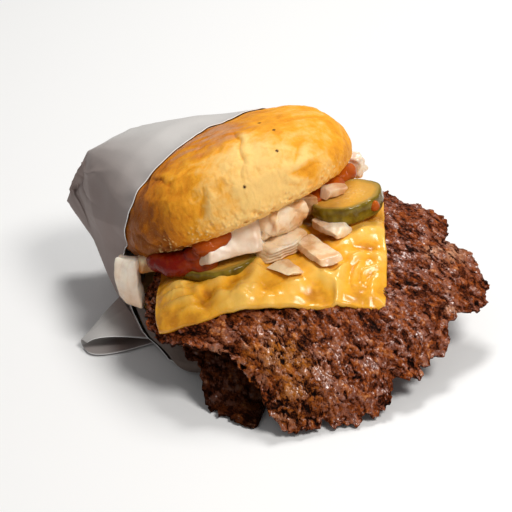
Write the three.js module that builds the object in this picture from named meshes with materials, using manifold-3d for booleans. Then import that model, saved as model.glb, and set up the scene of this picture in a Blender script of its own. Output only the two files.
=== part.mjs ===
// Paper-wrapped cheeseburger: two thin patties, a slice of cheese, pickles, onion
// and ketchup in a soft round bun, held in an open pocket of greaseproof paper.
// Millimetres, +Z up, origin at the middle of the flat bottom of the paper.
import * as THREE from 'three';
import { mergeVertices } from 'three/addons/utils/BufferGeometryUtils.js';
import Module from 'manifold-3d';

const wasm = await Module();
wasm.setup();

// ---------------------------------------------------------------- driving dimensions
const GAP = 0.8; // air left between neighbouring layers
const TAIL_TURN = THREE.MathUtils.degToRad(135); // way the closed end of the pocket points

const PAPER = { thick: 0.8, clear: 1.4, tailTop: 74, tailFoot: 91, tailWide: 1.6 };
// Bottom bun: its mean height, less towards the tail and more away from it by squash at reach.
const HEEL = { radius: 44, x: 4, y: 2, mean: 20, squash: 6, reach: 46 };
const PATTY = { lower: 5.5, upper: 6 }; // thickness of each patty
const CHEESE = { side: 91, thick: 2.8, turn: THREE.MathUtils.degToRad(-6.5), x: 20, y: -10 };
const CROWN = {
  radius: 51,
  height: 36,
  centre: new THREE.Vector3(11, 10, 43),
  up: new THREE.Vector3(-0.25, 0.34, 0.905).normalize(),
};
const UPPER = { x: 31, y: -31, radius: 62 };
const LOWER = { x: 18, y: -30, radius: 52 };

// Ragged edge of a patty: [direction in degrees, bulge in mm, half width in degrees].
const UPPER_EDGE = [
  [178, 3.5, 22], [-133, -12, 18], [-105, -1.5, 5], [-62, -5, 6], [-27, -2, 7],
  [-12, 10, 12], [9, -4, 5], [20, 1.5, 5], [37, -2, 8], [57, 2, 12], [100, -3, 30],
];
const LOWER_EDGE = [
  [-160, -8, 20], [-142, -4, 10], [-108, 4, 7], [-60, 2, 20], [20, -4, 25], [90, -6, 30], [160, -4, 20],
];

// ---------------------------------------------------------------- small maths
const clamp = THREE.MathUtils.clamp;
const lerp = THREE.MathUtils.lerp;
const tail = new THREE.Vector2(Math.cos(TAIL_TURN), Math.sin(TAIL_TURN));
const side = new THREE.Vector2(tail.y, -tail.x);

/** Depth of a plan point into the pocket, from the middle of the bun. */
const depthOf = (x, y) => x * tail.x + y * tail.y;

/** Radius of a round outline with named bulges and bites. */
function raggedRadius(radius, edge, turn) {
  let r = radius;
  for (const [at, bulge, width] of edge) {
    const off = THREE.MathUtils.euclideanModulo(THREE.MathUtils.radToDeg(turn) - at + 180, 360) - 180;
    r += bulge * Math.exp(-((off / width) ** 2));
  }
  return r;
}

// ---------------------------------------------------------------- height of the layers
/** Top of the bottom bun, pressed thinner towards the closed end. */
function heelTop(x, y) {
  const d = clamp(depthOf(x, y), -HEEL.reach, HEEL.reach);
  return HEEL.mean - (HEEL.squash * d) / HEEL.reach;
}

/** How far the upper patty hangs below its bed outside the part that is held up. */
function upperSag(x, y) {
  const across = (x - 15) / (x > 15 ? 1.4 : 1.1);
  return Math.max(0, Math.hypot(across, y - 5) - 40) ** 2 / 100;
}

/** The lower patty hangs more steeply, down over the rim of the bottom bun. */
function lowerSag(x, y) {
  const out = Math.max(0, Math.hypot(x, y) - 36);
  const bend = 24; // from here on it hangs straight
  const slope = 1.25;
  const hang = out < bend ? (slope * out * out) / (2 * bend) : slope * (out - bend / 2);
  return Math.max(hang, upperSag(x, y));
}

const FLOOR = 0.6;
const lowerTop = (x, y) =>
  Math.max(heelTop(x, y) + GAP + PATTY.lower - lowerSag(x, y), FLOOR + PATTY.lower * 0.7);
const upperTop = (x, y) =>
  Math.max(heelTop(x, y) + 2 * GAP + PATTY.lower + PATTY.upper - upperSag(x, y), FLOOR + 2);
const cheeseTop = (x, y) => upperTop(x, y) + GAP + CHEESE.thick;

// ---------------------------------------------------------------- body builders
/** Merge, drop flat triangles and turn the faces outward. */
function weld(geometry) {
  geometry.deleteAttribute('uv');
  geometry.deleteAttribute('normal');
  const merged = mergeVertices(geometry, 1e-4);
  const p = merged.attributes.position;
  const at = (i) => new THREE.Vector3().fromBufferAttribute(p, i);
  const keep = [];
  let volume = 0;
  for (let i = 0; i < merged.index.count; i += 3) {
    const t = [0, 1, 2].map((k) => merged.index.getX(i + k));
    if (t[0] === t[1] || t[1] === t[2] || t[0] === t[2]) continue;
    keep.push(...t);
    volume += at(t[0]).dot(at(t[1]).cross(at(t[2])));
  }
  if (volume < 0) for (let i = 0; i < keep.length; i += 3) [keep[i], keep[i + 1]] = [keep[i + 1], keep[i]];
  merged.setIndex(keep);
  return merged;
}

/** Spun body whose rows are then placed: rows start and end on the axis. */
function spun(rows, sectors, place) {
  const last = rows.length - 1;
  const outline = rows.map((row, j) => new THREE.Vector2(j === 0 || j === last ? 0 : 1, j));
  const geometry = new THREE.LatheGeometry(outline, sectors);
  const p = geometry.attributes.position;
  for (let i = 0; i < p.count; i++) {
    const j = i % rows.length;
    const turn = (2 * Math.PI * (Math.floor(i / rows.length) % sectors)) / sectors;
    const v = place(rows[j], j === 0 || j === last ? 0 : turn);
    p.setXYZ(i, v.x, v.y, v.z);
  }
  return weld(geometry);
}

const PANCAKE = [
  [0, -1], [0.35, -1], [0.6, -1], [0.78, -1], [0.92, -1], [0.985, -0.6], [1, 0],
  [0.985, 0.7], [0.92, 1], [0.78, 1], [0.6, 1], [0.35, 1], [0, 1],
];

/** Flat round food lying on a bed: under and over give the heights of its faces. */
function pancake(centre, radiusAt, under, over, sectors, rows = PANCAKE) {
  return spun(rows, sectors, ([share, level], turn) => {
    const r = share * radiusAt(turn);
    const x = centre.x + r * Math.cos(turn);
    const y = centre.y + r * Math.sin(turn);
    return new THREE.Vector3(x, y, lerp(under(x, y), over(x, y), (level + 1) / 2));
  });
}

/** Solid of the boolean kernel from a welded geometry. */
function solidOf(geometry) {
  return new wasm.Manifold(
    new wasm.Mesh({
      numProp: 3,
      vertProperties: new Float32Array(geometry.attributes.position.array),
      triVerts: new Uint32Array(geometry.index.array),
    }),
  );
}

/** Geometry back from a solid, keeping its largest body. */
function geometryOf(solid) {
  const bodies = solid.decompose().sort((a, b) => b.volume() - a.volume());
  const mesh = bodies[0].getMesh();
  const geometry = new THREE.BufferGeometry();
  geometry.setAttribute('position', new THREE.BufferAttribute(new Float32Array(mesh.vertProperties), 3));
  geometry.setIndex(Array.from(mesh.triVerts));
  return geometry;
}

/** Cut neighbours out of a body, leaving a small gap all round them. */
function clearOf(geometry, neighbours, gap = 0.4) {
  let body = solidOf(geometry);
  for (const other of neighbours) {
    const grown = other.clone();
    grown.computeVertexNormals();
    const p = grown.attributes.position;
    const n = grown.attributes.normal;
    for (let i = 0; i < p.count; i++) {
      p.setXYZ(i, p.getX(i) + gap * n.getX(i), p.getY(i) + gap * n.getY(i), p.getZ(i) + gap * n.getZ(i));
    }
    body = body.subtract(solidOf(grown));
  }
  return geometryOf(body);
}

// ---------------------------------------------------------------- buns
const heel = pancake(
  HEEL,
  () => HEEL.radius,
  () => PAPER.thick + GAP,
  (x, y) => heelTop(x, y) - lowerSag(x, y),
  32,
  [
    [0, -1], [0.5, -1], [0.82, -1], [0.93, -0.78], [0.99, -0.25], [1, 0.45], [0.96, 0.9],
    [0.88, 1], [0.7, 1], [0.5, 1], [0, 1],
  ],
);

/** Half-round top of the bun: [share of radius, share of height]. */
const DOME = [
  [0, 0], [0.5, 0], [0.86, 0.01], [0.95, 0.07], [1, 0.22], [0.985, 0.42], [0.93, 0.58],
  [0.82, 0.74], [0.65, 0.87], [0.42, 0.96], [0.2, 0.995], [0, 1],
];
const crownFrame = new THREE.Matrix4()
  .makeRotationFromQuaternion(new THREE.Quaternion().setFromUnitVectors(new THREE.Vector3(0, 0, 1), CROWN.up))
  .setPosition(CROWN.centre);
const crown = spun(DOME, 36, ([share, level], turn) =>
  new THREE.Vector3(
    CROWN.radius * share * Math.cos(turn),
    CROWN.radius * share * Math.sin(turn),
    CROWN.height * level,
  ).applyMatrix4(crownFrame),
);

// ---------------------------------------------------------------- patties and cheese
const lowerPatty = clearOf(pancake(
  LOWER,
  (turn) => raggedRadius(LOWER.radius, LOWER_EDGE, turn),
  (x, y) => Math.max(lowerTop(x, y) - PATTY.lower, FLOOR),
  lowerTop,
  38,
), [heel]);
const upperPatty = clearOf(pancake(
  UPPER,
  (turn) => raggedRadius(UPPER.radius, UPPER_EDGE, turn),
  (x, y) => Math.max(upperTop(x, y) - PATTY.upper, FLOOR),
  upperTop,
  60,
), [lowerPatty, heel]);

/** Square slice laid over the upper patty, with soft waves near its edges. */
function cheeseSlice() {
  const n = 12;
  const geometry = new THREE.BoxGeometry(CHEESE.side, CHEESE.side, CHEESE.thick, n, n, 1);
  const p = geometry.attributes.position;
  const half = CHEESE.side / 2;
  const place = new THREE.Vector3();
  for (let i = 0; i < p.count; i++) {
    place.fromBufferAttribute(p, i);
    const corner = 1 - 0.035 * ((Math.abs(place.x) / half) ** 6 * (Math.abs(place.y) / half) ** 6);
    const wave = 0.5 * (1 + Math.sin(place.x * 0.17)) * (Math.abs(place.y) / half) ** 4;
    const level = place.z;
    const hang = (x, y) => 0.05 * Math.max(0, x + y - 82) ** 2; // corner beyond the patty
    place.set(place.x * corner, place.y * corner, 0).applyAxisAngle(new THREE.Vector3(0, 0, 1), CHEESE.turn);
    const x = place.x + CHEESE.x;
    const y = place.y + CHEESE.y;
    p.setXYZ(i, x, y, cheeseTop(x, y) - CHEESE.thick / 2 + level + wave - hang(x, y));
  }
  return weld(geometry);
}
const cheese = clearOf(cheeseSlice(), [upperPatty]);

/** The bun's top rests on the filling: nothing of it goes below the cheese. */
function pressedCrown() {
  const rows = [[0, 0], [0.5, 0], [1, 0], [1, 1], [0.8, 1], [0.6, 1], [0.4, 1], [0.2, 1], [0, 1]];
  const bed = spun(rows, 48, ([share, level], turn) => {
    const x = 75 * share * Math.cos(turn);
    const y = 75 * share * Math.sin(turn);
    return new THREE.Vector3(x, y, level ? cheeseTop(x, y) + 1 + GAP : -20);
  });
  return geometryOf(solidOf(crown).subtract(solidOf(bed)));
}
const crownPressed = pressedCrown();

// ---------------------------------------------------------------- pickles, onion, ketchup
const COIN = [
  [0, -1], [0.6, -1], [0.94, -1], [1, -0.7], [1, 0.6], [0.95, 1], [0.6, 1], [0, 1],
];

/** Pickle slice lying on the cheese. */
function pickle(x, y, radius, thick, lift = 0) {
  const bed = (px, py) => cheeseTop(px, py) + GAP + 0.9 + lift;
  return pancake({ x, y }, (t) => radius * (1 + 0.03 * Math.sin(3 * t + x)), bed,
    (px, py) => bed(px, py) + thick, 24, COIN);
}

/** Chunk of cut onion: a bent block with softened ends, lying on the cheese. */
function onion({ at, size, turn = 0, tip = 0, roll = 0, lift = 0 }) {
  const [long, wide, high] = size;
  const geometry = new THREE.BoxGeometry(long, wide, high, 3, 2, 2);
  const p = geometry.attributes.position;
  for (let i = 0; i < p.count; i++) {
    const u = (2 * p.getX(i)) / long;
    const v = (2 * p.getY(i)) / wide;
    const w = (2 * p.getZ(i)) / high;
    const round = 1 - 0.1 * (u * u * v * v + v * v * w * w + w * w * u * u);
    p.setXYZ(i, p.getX(i) * round, p.getY(i) * round + 0.16 * wide * (1 - u * u), p.getZ(i) * round);
  }
  geometry.rotateX(THREE.MathUtils.degToRad(roll));
  geometry.rotateY(THREE.MathUtils.degToRad(tip));
  geometry.rotateZ(THREE.MathUtils.degToRad(turn));
  geometry.computeBoundingBox();
  const [x, y] = at;
  geometry.translate(x, y, cheeseTop(x, y) + GAP + 0.7 - geometry.boundingBox.min.z + lift);
  return weld(geometry);
}

/** Thick spoonful of ketchup with a rounded top. */
function blob({ at, long, wide, high, turn, lift = 0 }) {
  const rows = [[0, 0], [0.6, 0], [0.95, 0.1], [1, 0.35], [0.85, 0.75], [0.5, 0.95], [0, 1]];
  const a = THREE.MathUtils.degToRad(turn);
  return spun(rows, 20, ([share, level], t) => {
    const lobe = 1 + 0.1 * Math.sin(3 * t + 1) + 0.06 * Math.sin(5 * t);
    const u = long * share * lobe * Math.cos(t);
    const v = wide * share * lobe * Math.sin(t);
    const x = at[0] + u * Math.cos(a) - v * Math.sin(a);
    const y = at[1] + u * Math.sin(a) + v * Math.cos(a);
    return new THREE.Vector3(x, y, cheeseTop(x, y) + GAP + 0.9 + lift + high * level);
  });
}

const PICKLES = {
  pickle_right: [51, -5, 14.5, 6.8],
  pickle_left: [-2, -17, 17, 4],
};

const ONIONS = {
  onion_left_end: { at: [-38, -13], size: [23.5, 9, 5], tip: -42, turn: 90, lift: -15 },
  onion_left_small: { at: [-30.5, -12], size: [7, 6, 7], turn: 20, lift: -3 },
  onion_slab: { at: [5, -27], size: [25, 15, 11], turn: 12, lift: 3 },
  onion_round: { at: [25, -24], size: [19, 15, 13], turn: 35, roll: 15 },
  onion_front: { at: [21.5, -45.5], size: [15, 6, 3], turn: -50 },
  onion_right_back: { at: [42.7, -23], size: [17, 7, 6], turn: -54 },
  onion_right_front: { at: [37.8, -38.5], size: [17, 7, 5.5], turn: -43 },
  onion_under_bun: { at: [26, -8], size: [20, 9, 9], turn: 20, lift: 4 },
  onion_far_right: { at: [60, 22], size: [9, 7, 11], turn: 70 },
  onion_shard: { at: [46, 2], size: [11, 6, 5], turn: 60, lift: 9 },
};

const BLOBS = {
  ketchup_left: { at: [-17.5, -21], long: 14, wide: 8.5, high: 8.5, turn: -4, lift: 3 },
  ketchup_right: { at: [44, 10], long: 15, wide: 9, high: 8, turn: 45, lift: 4 },
};

// ---------------------------------------------------------------- paper pocket
/** Outward planes of the tight hull round the bun and the flat tail of the pocket. */
function hullPlanes() {
  const points = [];
  for (const g of [heel, crown]) {
    const p = g.attributes.position;
    for (let i = 0; i < p.count; i++) points.push([p.getX(i), p.getY(i), p.getZ(i)]);
  }
  for (const [d, z] of [[PAPER.tailTop, 55], [PAPER.tailFoot, 30]]) {
    for (const w of [-0.5, 0.5]) {
      points.push([d * tail.x + w * side.x, d * tail.y + w * side.y, z]);
    }
  }
  const mesh = wasm.Manifold.hull(points).getMesh();
  const at = (i) => new THREE.Vector3().fromArray(mesh.vertProperties, 3 * i);
  const planes = [];
  for (let i = 0; i < mesh.triVerts.length; i += 3) {
    const [a, b, c] = [0, 1, 2].map((k) => at(mesh.triVerts[i + k]));
    planes.push(new THREE.Plane().setFromCoplanarPoints(a, b, c));
  }
  return planes;
}
const HULL = hullPlanes();

/** Smooth value round the pocket between [turn in degrees, value] stops. */
function roundStops(stops, turn) {
  const t = THREE.MathUtils.euclideanModulo(THREE.MathUtils.radToDeg(turn), 360);
  const ring = [...stops, [stops[0][0] + 360, stops[0][1]]];
  for (let i = 0; i + 1 < ring.length; i++) {
    const [a, b] = [ring[i], ring[i + 1]];
    if (t >= a[0] && t <= b[0]) return lerp(a[1], b[1], THREE.MathUtils.smoothstep(t, a[0], b[0]));
  }
  return stops[0][1];
}

// Depth of the cut edge of the mouth round the pocket: 0 right, 90 top, 180 left, 270 floor.
const MOUTH = [
  [0, 16], [60, 12], [90, 12], [130, 12], [165, 18], [180, 23], [200, 23], [208, 22], [213, 16],
  [219, -2], [224, -22], [235, -38], [270, -46], [315, -32], [330, -12], [345, 10],
];

/** Smooth bump of unit height round a turn given in degrees. */
function bump(turn, at, width) {
  const off = THREE.MathUtils.euclideanModulo(THREE.MathUtils.radToDeg(turn) - at + 180, 360) - 180;
  return Math.exp(-((off / width) ** 2));
}

/** Point in the frame of the pocket: depth, sideways and height. */
const inPocket = (d, w, z) => new THREE.Vector3(d * tail.x + w * side.x, d * tail.y + w * side.y, z);

/** Point of the pocket wall: tight round the bun, pinched flat at the closed end. */
function wall(share, turn, inset) {
  const rise = (Math.sin(turn) + 1) / 2;
  const d = lerp(roundStops(MOUTH, turn), lerp(PAPER.tailFoot, PAPER.tailTop, rise), share);
  const mid = inPocket(d, 0, lerp(32, 42, clamp(d / 87, 0, 1)));
  const way = new THREE.Vector3(side.x * Math.cos(turn), side.y * Math.cos(turn), Math.sin(turn));
  let reach = Infinity;
  for (const plane of HULL) {
    const facing = plane.normal.dot(way);
    if (facing < 1e-6) continue;
    reach = Math.min(reach, (PAPER.clear + PAPER.thick - inset - plane.distanceToPoint(mid)) / facing);
  }
  const loose = 7 * Math.sin(Math.PI * share) ** 0.8 * Math.max(0, Math.sin(turn));
  const drawnIn = 5 * bump(turn, 215, 40) * THREE.MathUtils.smoothstep(share, 0.45, 0.8);
  mid.addScaledVector(way, Math.max(reach + loose - drawnIn, 0.5));
  const half = PAPER.tailWide / 2 - inset;
  const seam = inPocket(lerp(PAPER.tailFoot, PAPER.tailTop, rise), half * Math.cos(turn), lerp(28, 55, rise));
  mid.lerp(seam, THREE.MathUtils.smoothstep(share, 0.72, 1) ** 1.3);
  mid.z = Math.max(mid.z, inset);
  return mid;
}

const SECTORS = 36;
const INNER_END = 0.9; // share of the depth at which the inside of the pocket stops

/** Rows of the wall from the mouth to the closed end. */
function wallRows(steps, end, inset) {
  const rows = [];
  for (let i = 0; i <= steps; i++) rows.push([(end * i) / steps, inset]);
  return rows;
}

/** Spin wall rows into a body; a row with a third entry is a pole in the middle. */
function spunWall(rows) {
  return spun(rows, SECTORS, ([share, inset, pole], turn) => {
    if (!pole) return wall(share, turn, inset);
    const d = lerp(-20, lerp(PAPER.tailFoot, PAPER.tailTop, 0.5), share);
    return inPocket(d, 0, lerp(34, 42.5, share));
  });
}

// Curled corner of the sheet at the foot of the left side. Each row is a section of it, from the
// wall outwards, and goes from the lower front edge back under, over the fold to the upper edge.
const CORNER = [
  [[-34.5, -14.6, 0.8], [-40, -5, 0.8], [-44.5, -1, 7], [-45.5, -3.9, 18.5], [-35.5, -13.8, 2.2]],
  [[-54.5, -17.6, 0.8], [-56, -9, 0.8], [-56.5, -5, 5], [-55.6, -6.5, 10.6], [-52.5, -14, 6.6]],
  [[-62.6, -11.8, 0.8], [-63.8, -9.6, 0.8], [-64.4, -8.2, 1.8], [-64, -8.4, 3.8], [-61.6, -11.8, 4]],
].map((row) => row.map((v) => new THREE.Vector3(...v)));

/** Point of the curled corner: u from the wall outwards, v round its fold. */
function cornerAt(u, v) {
  const row = [0, 1, 2, 3, 4].map((k) => {
    const [a, b, c] = CORNER.map((section) => section[k]);
    const bend = b.clone().multiplyScalar(2).addScaledVector(a, -0.5).addScaledVector(c, -0.5);
    return new THREE.QuadraticBezierCurve3(a, bend, c).getPoint(u);
  });
  return new THREE.CatmullRomCurve3(row).getPoint(v);
}

/** The curled corner as a thin body. */
function flap() {
  const geometry = new THREE.BoxGeometry(1, 1, 1, 7, 14, 1);
  const p = geometry.attributes.position;
  const step = 0.01;
  for (let i = 0; i < p.count; i++) {
    const u = clamp(p.getX(i) + 0.5, 0, 1);
    const v = clamp(p.getY(i) + 0.5, 0, 1);
    const layer = p.getZ(i) * PAPER.thick;
    const out = cornerAt(Math.min(u + step, 1), v).sub(cornerAt(Math.max(u - step, 0), v));
    const round = cornerAt(u, Math.min(v + step, 1)).sub(cornerAt(u, Math.max(v - step, 0)));
    const q = cornerAt(u, v).addScaledVector(out.cross(round).normalize(), layer);
    p.setXYZ(i, q.x, q.y, Math.max(q.z, 0.01));
  }
  return weld(geometry);
}

/** The whole sheet: pocket and curled corner, one body of even thickness. */
function wrap() {
  const outer = wallRows(11, 1, 0);
  const inner = wallRows(9, INNER_END, PAPER.thick);
  const bag = spunWall([[1, 0, true], ...outer.reverse(), ...inner, [INNER_END, PAPER.thick, true]]);
  const filled = wallRows(13, 1, PAPER.thick / 2);
  const plug = spunWall([[0, 0, true], ...filled, [1, 0, true]]);
  const corner = solidOf(flap()).subtract(solidOf(plug));
  return geometryOf(solidOf(bag).add(corner));
}
const paper = wrap();

// ---------------------------------------------------------------- the object
const group = new THREE.Group();
group.name = 'paper_wrapped_cheeseburger';

/** Add one named piece with its plain colour. */
function add(name, geometry, color, roughness) {
  geometry.computeVertexNormals();
  const mesh = new THREE.Mesh(geometry, new THREE.MeshStandardMaterial({ color, roughness, metalness: 0 }));
  mesh.name = name;
  group.add(mesh);
}

add('wrap_paper', paper, 0xd9d8d4, 0.6);
add('bun_heel', clearOf(heel, [paper]), 0xe3a552, 0.6);
add('patty_lower', clearOf(lowerPatty, [paper]), 0x4a2413, 0.5);
add('patty_upper', clearOf(upperPatty, [paper]), 0x5a2c14, 0.45);
add('cheese_slice', clearOf(cheese, [paper]), 0xf2ad2e, 0.35);
const placed = [crownPressed, cheese, upperPatty, lowerPatty, paper];
for (const [name, [x, y, radius, thick]] of Object.entries(PICKLES)) {
  const body = clearOf(pickle(x, y, radius, thick), placed);
  placed.push(body);
  add(name, body, 0xb08a34, 0.3);
}
for (const [name, size] of Object.entries(ONIONS)) {
  const body = clearOf(clearOf(onion(size), placed), [paper], 0);
  placed.push(body);
  add(name, body, 0xe6dfc4, 0.3);
}
for (const [name, size] of Object.entries(BLOBS)) {
  const body = clearOf(blob(size), placed);
  placed.push(body);
  add(name, body, 0xa52a10, 0.2);
}
add('bun_crown', clearOf(crownPressed, [paper]), 0xe9a94e, 0.45);

export default group;
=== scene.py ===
"""Looks of the paper-wrapped cheeseburger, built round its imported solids.

Shapes are worked out in millimetres in the part's own frame and handed to Blender in metres.
"""
import logging
import math
from dataclasses import dataclass, field
from enum import Enum
from typing import Any, Callable, Optional, Sequence

import bmesh
import bpy
import numpy as np
from mathutils import Matrix, Vector
from mathutils.bvhtree import BVHTree


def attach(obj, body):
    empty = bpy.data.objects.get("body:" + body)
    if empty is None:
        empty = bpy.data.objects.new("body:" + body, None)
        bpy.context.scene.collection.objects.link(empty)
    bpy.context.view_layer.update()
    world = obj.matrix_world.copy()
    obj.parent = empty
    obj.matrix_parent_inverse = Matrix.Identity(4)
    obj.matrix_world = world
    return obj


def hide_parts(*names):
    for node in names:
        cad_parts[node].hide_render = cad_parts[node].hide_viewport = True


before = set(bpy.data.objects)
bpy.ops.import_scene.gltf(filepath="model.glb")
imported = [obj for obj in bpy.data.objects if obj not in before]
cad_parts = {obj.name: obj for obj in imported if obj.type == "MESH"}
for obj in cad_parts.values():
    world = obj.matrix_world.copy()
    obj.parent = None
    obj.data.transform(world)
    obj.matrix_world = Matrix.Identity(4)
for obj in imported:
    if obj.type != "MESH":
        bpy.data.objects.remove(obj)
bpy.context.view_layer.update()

Array = np.ndarray
Pair = tuple[float, float]
Triple = tuple[float, float, float]
Colour = Triple
Object, Material = bpy.types.Object, bpy.types.Material
Node, NodeTree, Socket = bpy.types.Node, bpy.types.NodeTree, bpy.types.NodeSocket
log = logging.getLogger("cheeseburger")

MM = 0.001
BODY = "root"
GRAIN_WAY = math.radians(-58)
FULL_TURN = 6.283


# -------- small maths
def ease(low: float, high: float, x: Array) -> Array:
    """Eases from 0 at low to 1 at high.

    Args:
        low: Value that gives 0.
        high: Value that gives 1.
        x: Values to ease.

    Returns:
        Eased values.
    """
    t = np.clip((x - low) / (high - low), 0.0, 1.0)
    return t * t * (3 - 2 * t)


def bump(x: Array, at: float, width: float) -> Array:
    """Bell of unit height.

    Args:
        x: Values.
        at: Middle of the bell.
        width: Distance from the middle at which it has fallen to about a third.

    Returns:
        Height of the bell at each value.
    """
    return np.exp(-(((x - at) / width) ** 2))


def turn_gap(turn: Array, at_deg: float) -> Array:
    """Signed difference between turns, in degrees from -180 to 180.

    Args:
        turn: Turns in radians.
        at_deg: Turn to measure from, in degrees.

    Returns:
        The difference at each turn.
    """
    return (np.degrees(turn) - at_deg + 180.0) % 360.0 - 180.0


def stack(*parts: Any) -> Array:
    """Puts coordinate arrays side by side as points.

    Args:
        *parts: Arrays or numbers, one for each axis.

    Returns:
        Array of points.
    """
    return np.stack(np.broadcast_arrays(*[np.asarray(p, float) for p in parts]), -1)


def unit(p: Array) -> Array:
    """Directions with a length of one."""
    return p / np.maximum(np.linalg.norm(p, axis=-1, keepdims=True), 1e-9)


def each_pair(a: Array, b: Array) -> tuple[Array, Array]:
    """Every value of one array with every value of another."""
    first, second = np.meshgrid(a, b, indexing="ij")
    return first.ravel(), second.ravel()


def near_line(p: Array, a: Pair, b: Pair) -> tuple[Array, Array]:
    """Distance of plan points from a line piece, and how far along it they lie.

    Args:
        p: Points, of which the first two coordinates count.
        a: Start of the line piece.
        b: End of the line piece.

    Returns:
        Signed distance, left of the line positive, and share of the length from 0 to 1.
    """
    start, way = np.array(a), np.array(b) - np.array(a)
    length = float(np.hypot(*way))
    rel = p[..., :2] - start
    along = np.clip((rel @ way) / length**2, 0, 1)
    foot = start + along[..., None] * way
    off = p[..., :2] - foot
    side = np.sign(way[0] * rel[..., 1] - way[1] * rel[..., 0])
    return np.hypot(off[..., 0], off[..., 1]) * side, along


@dataclass(frozen=True)
class Grain:
    """Seeded natural roughness on points in millimetres."""

    seed: int = 1

    def _hash(self, cell: Array, salt: int) -> Array:
        """Random value for each whole-number cell.

        Args:
            cell: Whole numbers of the cells.
            salt: Tells apart the values that one cell has.

        Returns:
            Values from 0 to 1.
        """
        h = (
            cell[..., 0] * 374761393
            + cell[..., 1] * 668265263
            + cell[..., 2] * 1440662683
            + (self.seed * 97 + salt) * 974634777
        ) & 0xFFFFFFFF
        h = ((h ^ (h >> 13)) * 1274126177) & 0xFFFFFFFF
        return ((h ^ (h >> 16)) & 0xFFFFFF) / float(0xFFFFFF)

    def smooth(self, p: Array, size: float) -> Array:
        """Rolling unevenness.

        Args:
            p: Points.
            size: Size of its swells in millimetres.

        Returns:
            Values from about -1 to 1.
        """
        q = p / size
        base = np.floor(q).astype(np.int64)
        f = q - base
        w = f * f * f * (f * (f * 6 - 15) + 10)
        total = np.zeros(q.shape[:-1])
        for corner in np.ndindex(2, 2, 2):
            c = np.array(corner)
            lattice = base + c
            d = f - c
            dot = sum((self._hash(lattice, k) * 2 - 1) * d[..., k] for k in range(3))
            total += dot * np.prod(np.where(c == 1, w, 1 - w), axis=-1)
        return total * 1.7

    def layered(self, p: Array, size: float, octaves: int, gain: float = 0.5) -> Array:
        """Rolling unevenness with finer and finer layers over it.

        Args:
            p: Points.
            size: Size of the coarsest swells in millimetres.
            octaves: Number of layers.
            gain: Strength of each layer over the one before.

        Returns:
            Values from about -1 to 1.
        """
        total, strength = np.zeros(p.shape[:-1]), 1.0
        for k in range(octaves):
            total += strength * self.smooth(p + 13.7 * k, size / 2**k)
            strength *= gain
        return total

    def drift(self, p: Array, size: float, steps: Sequence[Optional[float]], octaves: int = 1) -> Array:
        """Rolling shift of points.

        Args:
            p: Points.
            size: Size of its coarsest swells in millimetres.
            steps: Where each axis reads the unevenness, or None for an axis that stays put.
            octaves: Number of layers.

        Returns:
            A shift for each point, from about -1 to 1 on each axis.
        """
        return stack(*(0 if step is None else self.layered(p + step, size, octaves) for step in steps))

    def cells(self, p: Array, size: float) -> tuple[Array, Array, Array, Array]:
        """Irregular cells, like crumbs packed together.

        Args:
            p: Points.
            size: Size of a cell in millimetres.

        Returns:
            Distance to the nearest cell's middle, distance to the next one's, the nearest cell's
            random value and the way from its middle, all in cell sizes.
        """
        q = p / size
        base = np.floor(q).astype(np.int64)
        near = np.full(q.shape[:-1], 9.0)
        second = near.copy()
        tag = np.zeros_like(near)
        way = np.zeros_like(q)
        for offset in np.ndindex(3, 3, 3):
            lattice = base + np.array(offset) - 1
            middle = lattice + np.stack([self._hash(lattice, k) for k in (5, 6, 7)], -1)
            delta = q - middle
            d = np.sqrt((delta**2).sum(-1))
            closer = d < near
            second = np.where(closer, near, np.minimum(second, d))
            tag = np.where(closer, self._hash(lattice, 8), tag)
            way = np.where(closer[..., None], delta, way)
            near = np.where(closer, d, near)
        return near, second, tag, way


# -------- mesh pieces
def net(rows: int, columns: int) -> tuple[Array, Array]:
    """Numbers the corners of a net of squares.

    Args:
        rows: Number of squares one way.
        columns: Number of squares the other way.

    Returns:
        Corner numbers of each square, and those of the rim in order.
    """
    index = np.arange((rows + 1) * (columns + 1)).reshape(rows + 1, columns + 1)
    quads = np.stack([index[:-1, :-1], index[1:, :-1], index[1:, 1:], index[:-1, 1:]], -1).reshape(-1, 4)
    return quads, np.concatenate([index[:-1, 0], index[-1, :-1], index[:0:-1, -1], index[0, :0:-1]])


def band(ring: Array, next_ring: Array) -> list[tuple[int, ...]]:
    """Squares between two closed rings of corners.

    Args:
        ring: Corner numbers of one ring.
        next_ring: Corner numbers of the other.

    Returns:
        Corner numbers of each square.
    """
    quads = np.stack([ring, next_ring, np.roll(next_ring, -1), np.roll(ring, -1)], -1)
    return [tuple(q) for q in quads.tolist()]


def add_object(name: str, data: Any) -> Object:
    """Makes an object in the scene.

    Args:
        name: Name of the object.
        data: Its mesh, lamp or camera.

    Returns:
        The object.
    """
    piece = bpy.data.objects.new(name, data)
    bpy.context.scene.collection.objects.link(piece)
    return piece


def mesh_piece(
    name: str, verts: Array, faces: Sequence[Sequence[int]], marks: Optional[dict[str, Array]] = None
) -> Object:
    """Makes an object from points in millimetres.

    Args:
        name: Name of the object.
        verts: Points.
        faces: Corner numbers of each face, turned outward.
        marks: Values to store on the points for the finish to read.

    Returns:
        The new object, linked to the scene.
    """
    mesh = bpy.data.meshes.new(name)
    mesh.from_pydata((np.asarray(verts) * MM).tolist(), [], [tuple(f) for f in faces])
    for key, values in (marks or {}).items():
        layer = mesh.attributes.new(key, "FLOAT", "POINT")
        layer.data.foreach_set("value", np.ascontiguousarray(values, dtype=np.float32))
    mesh.shade_smooth()
    mesh.update()
    return add_object(name, mesh)


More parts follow.
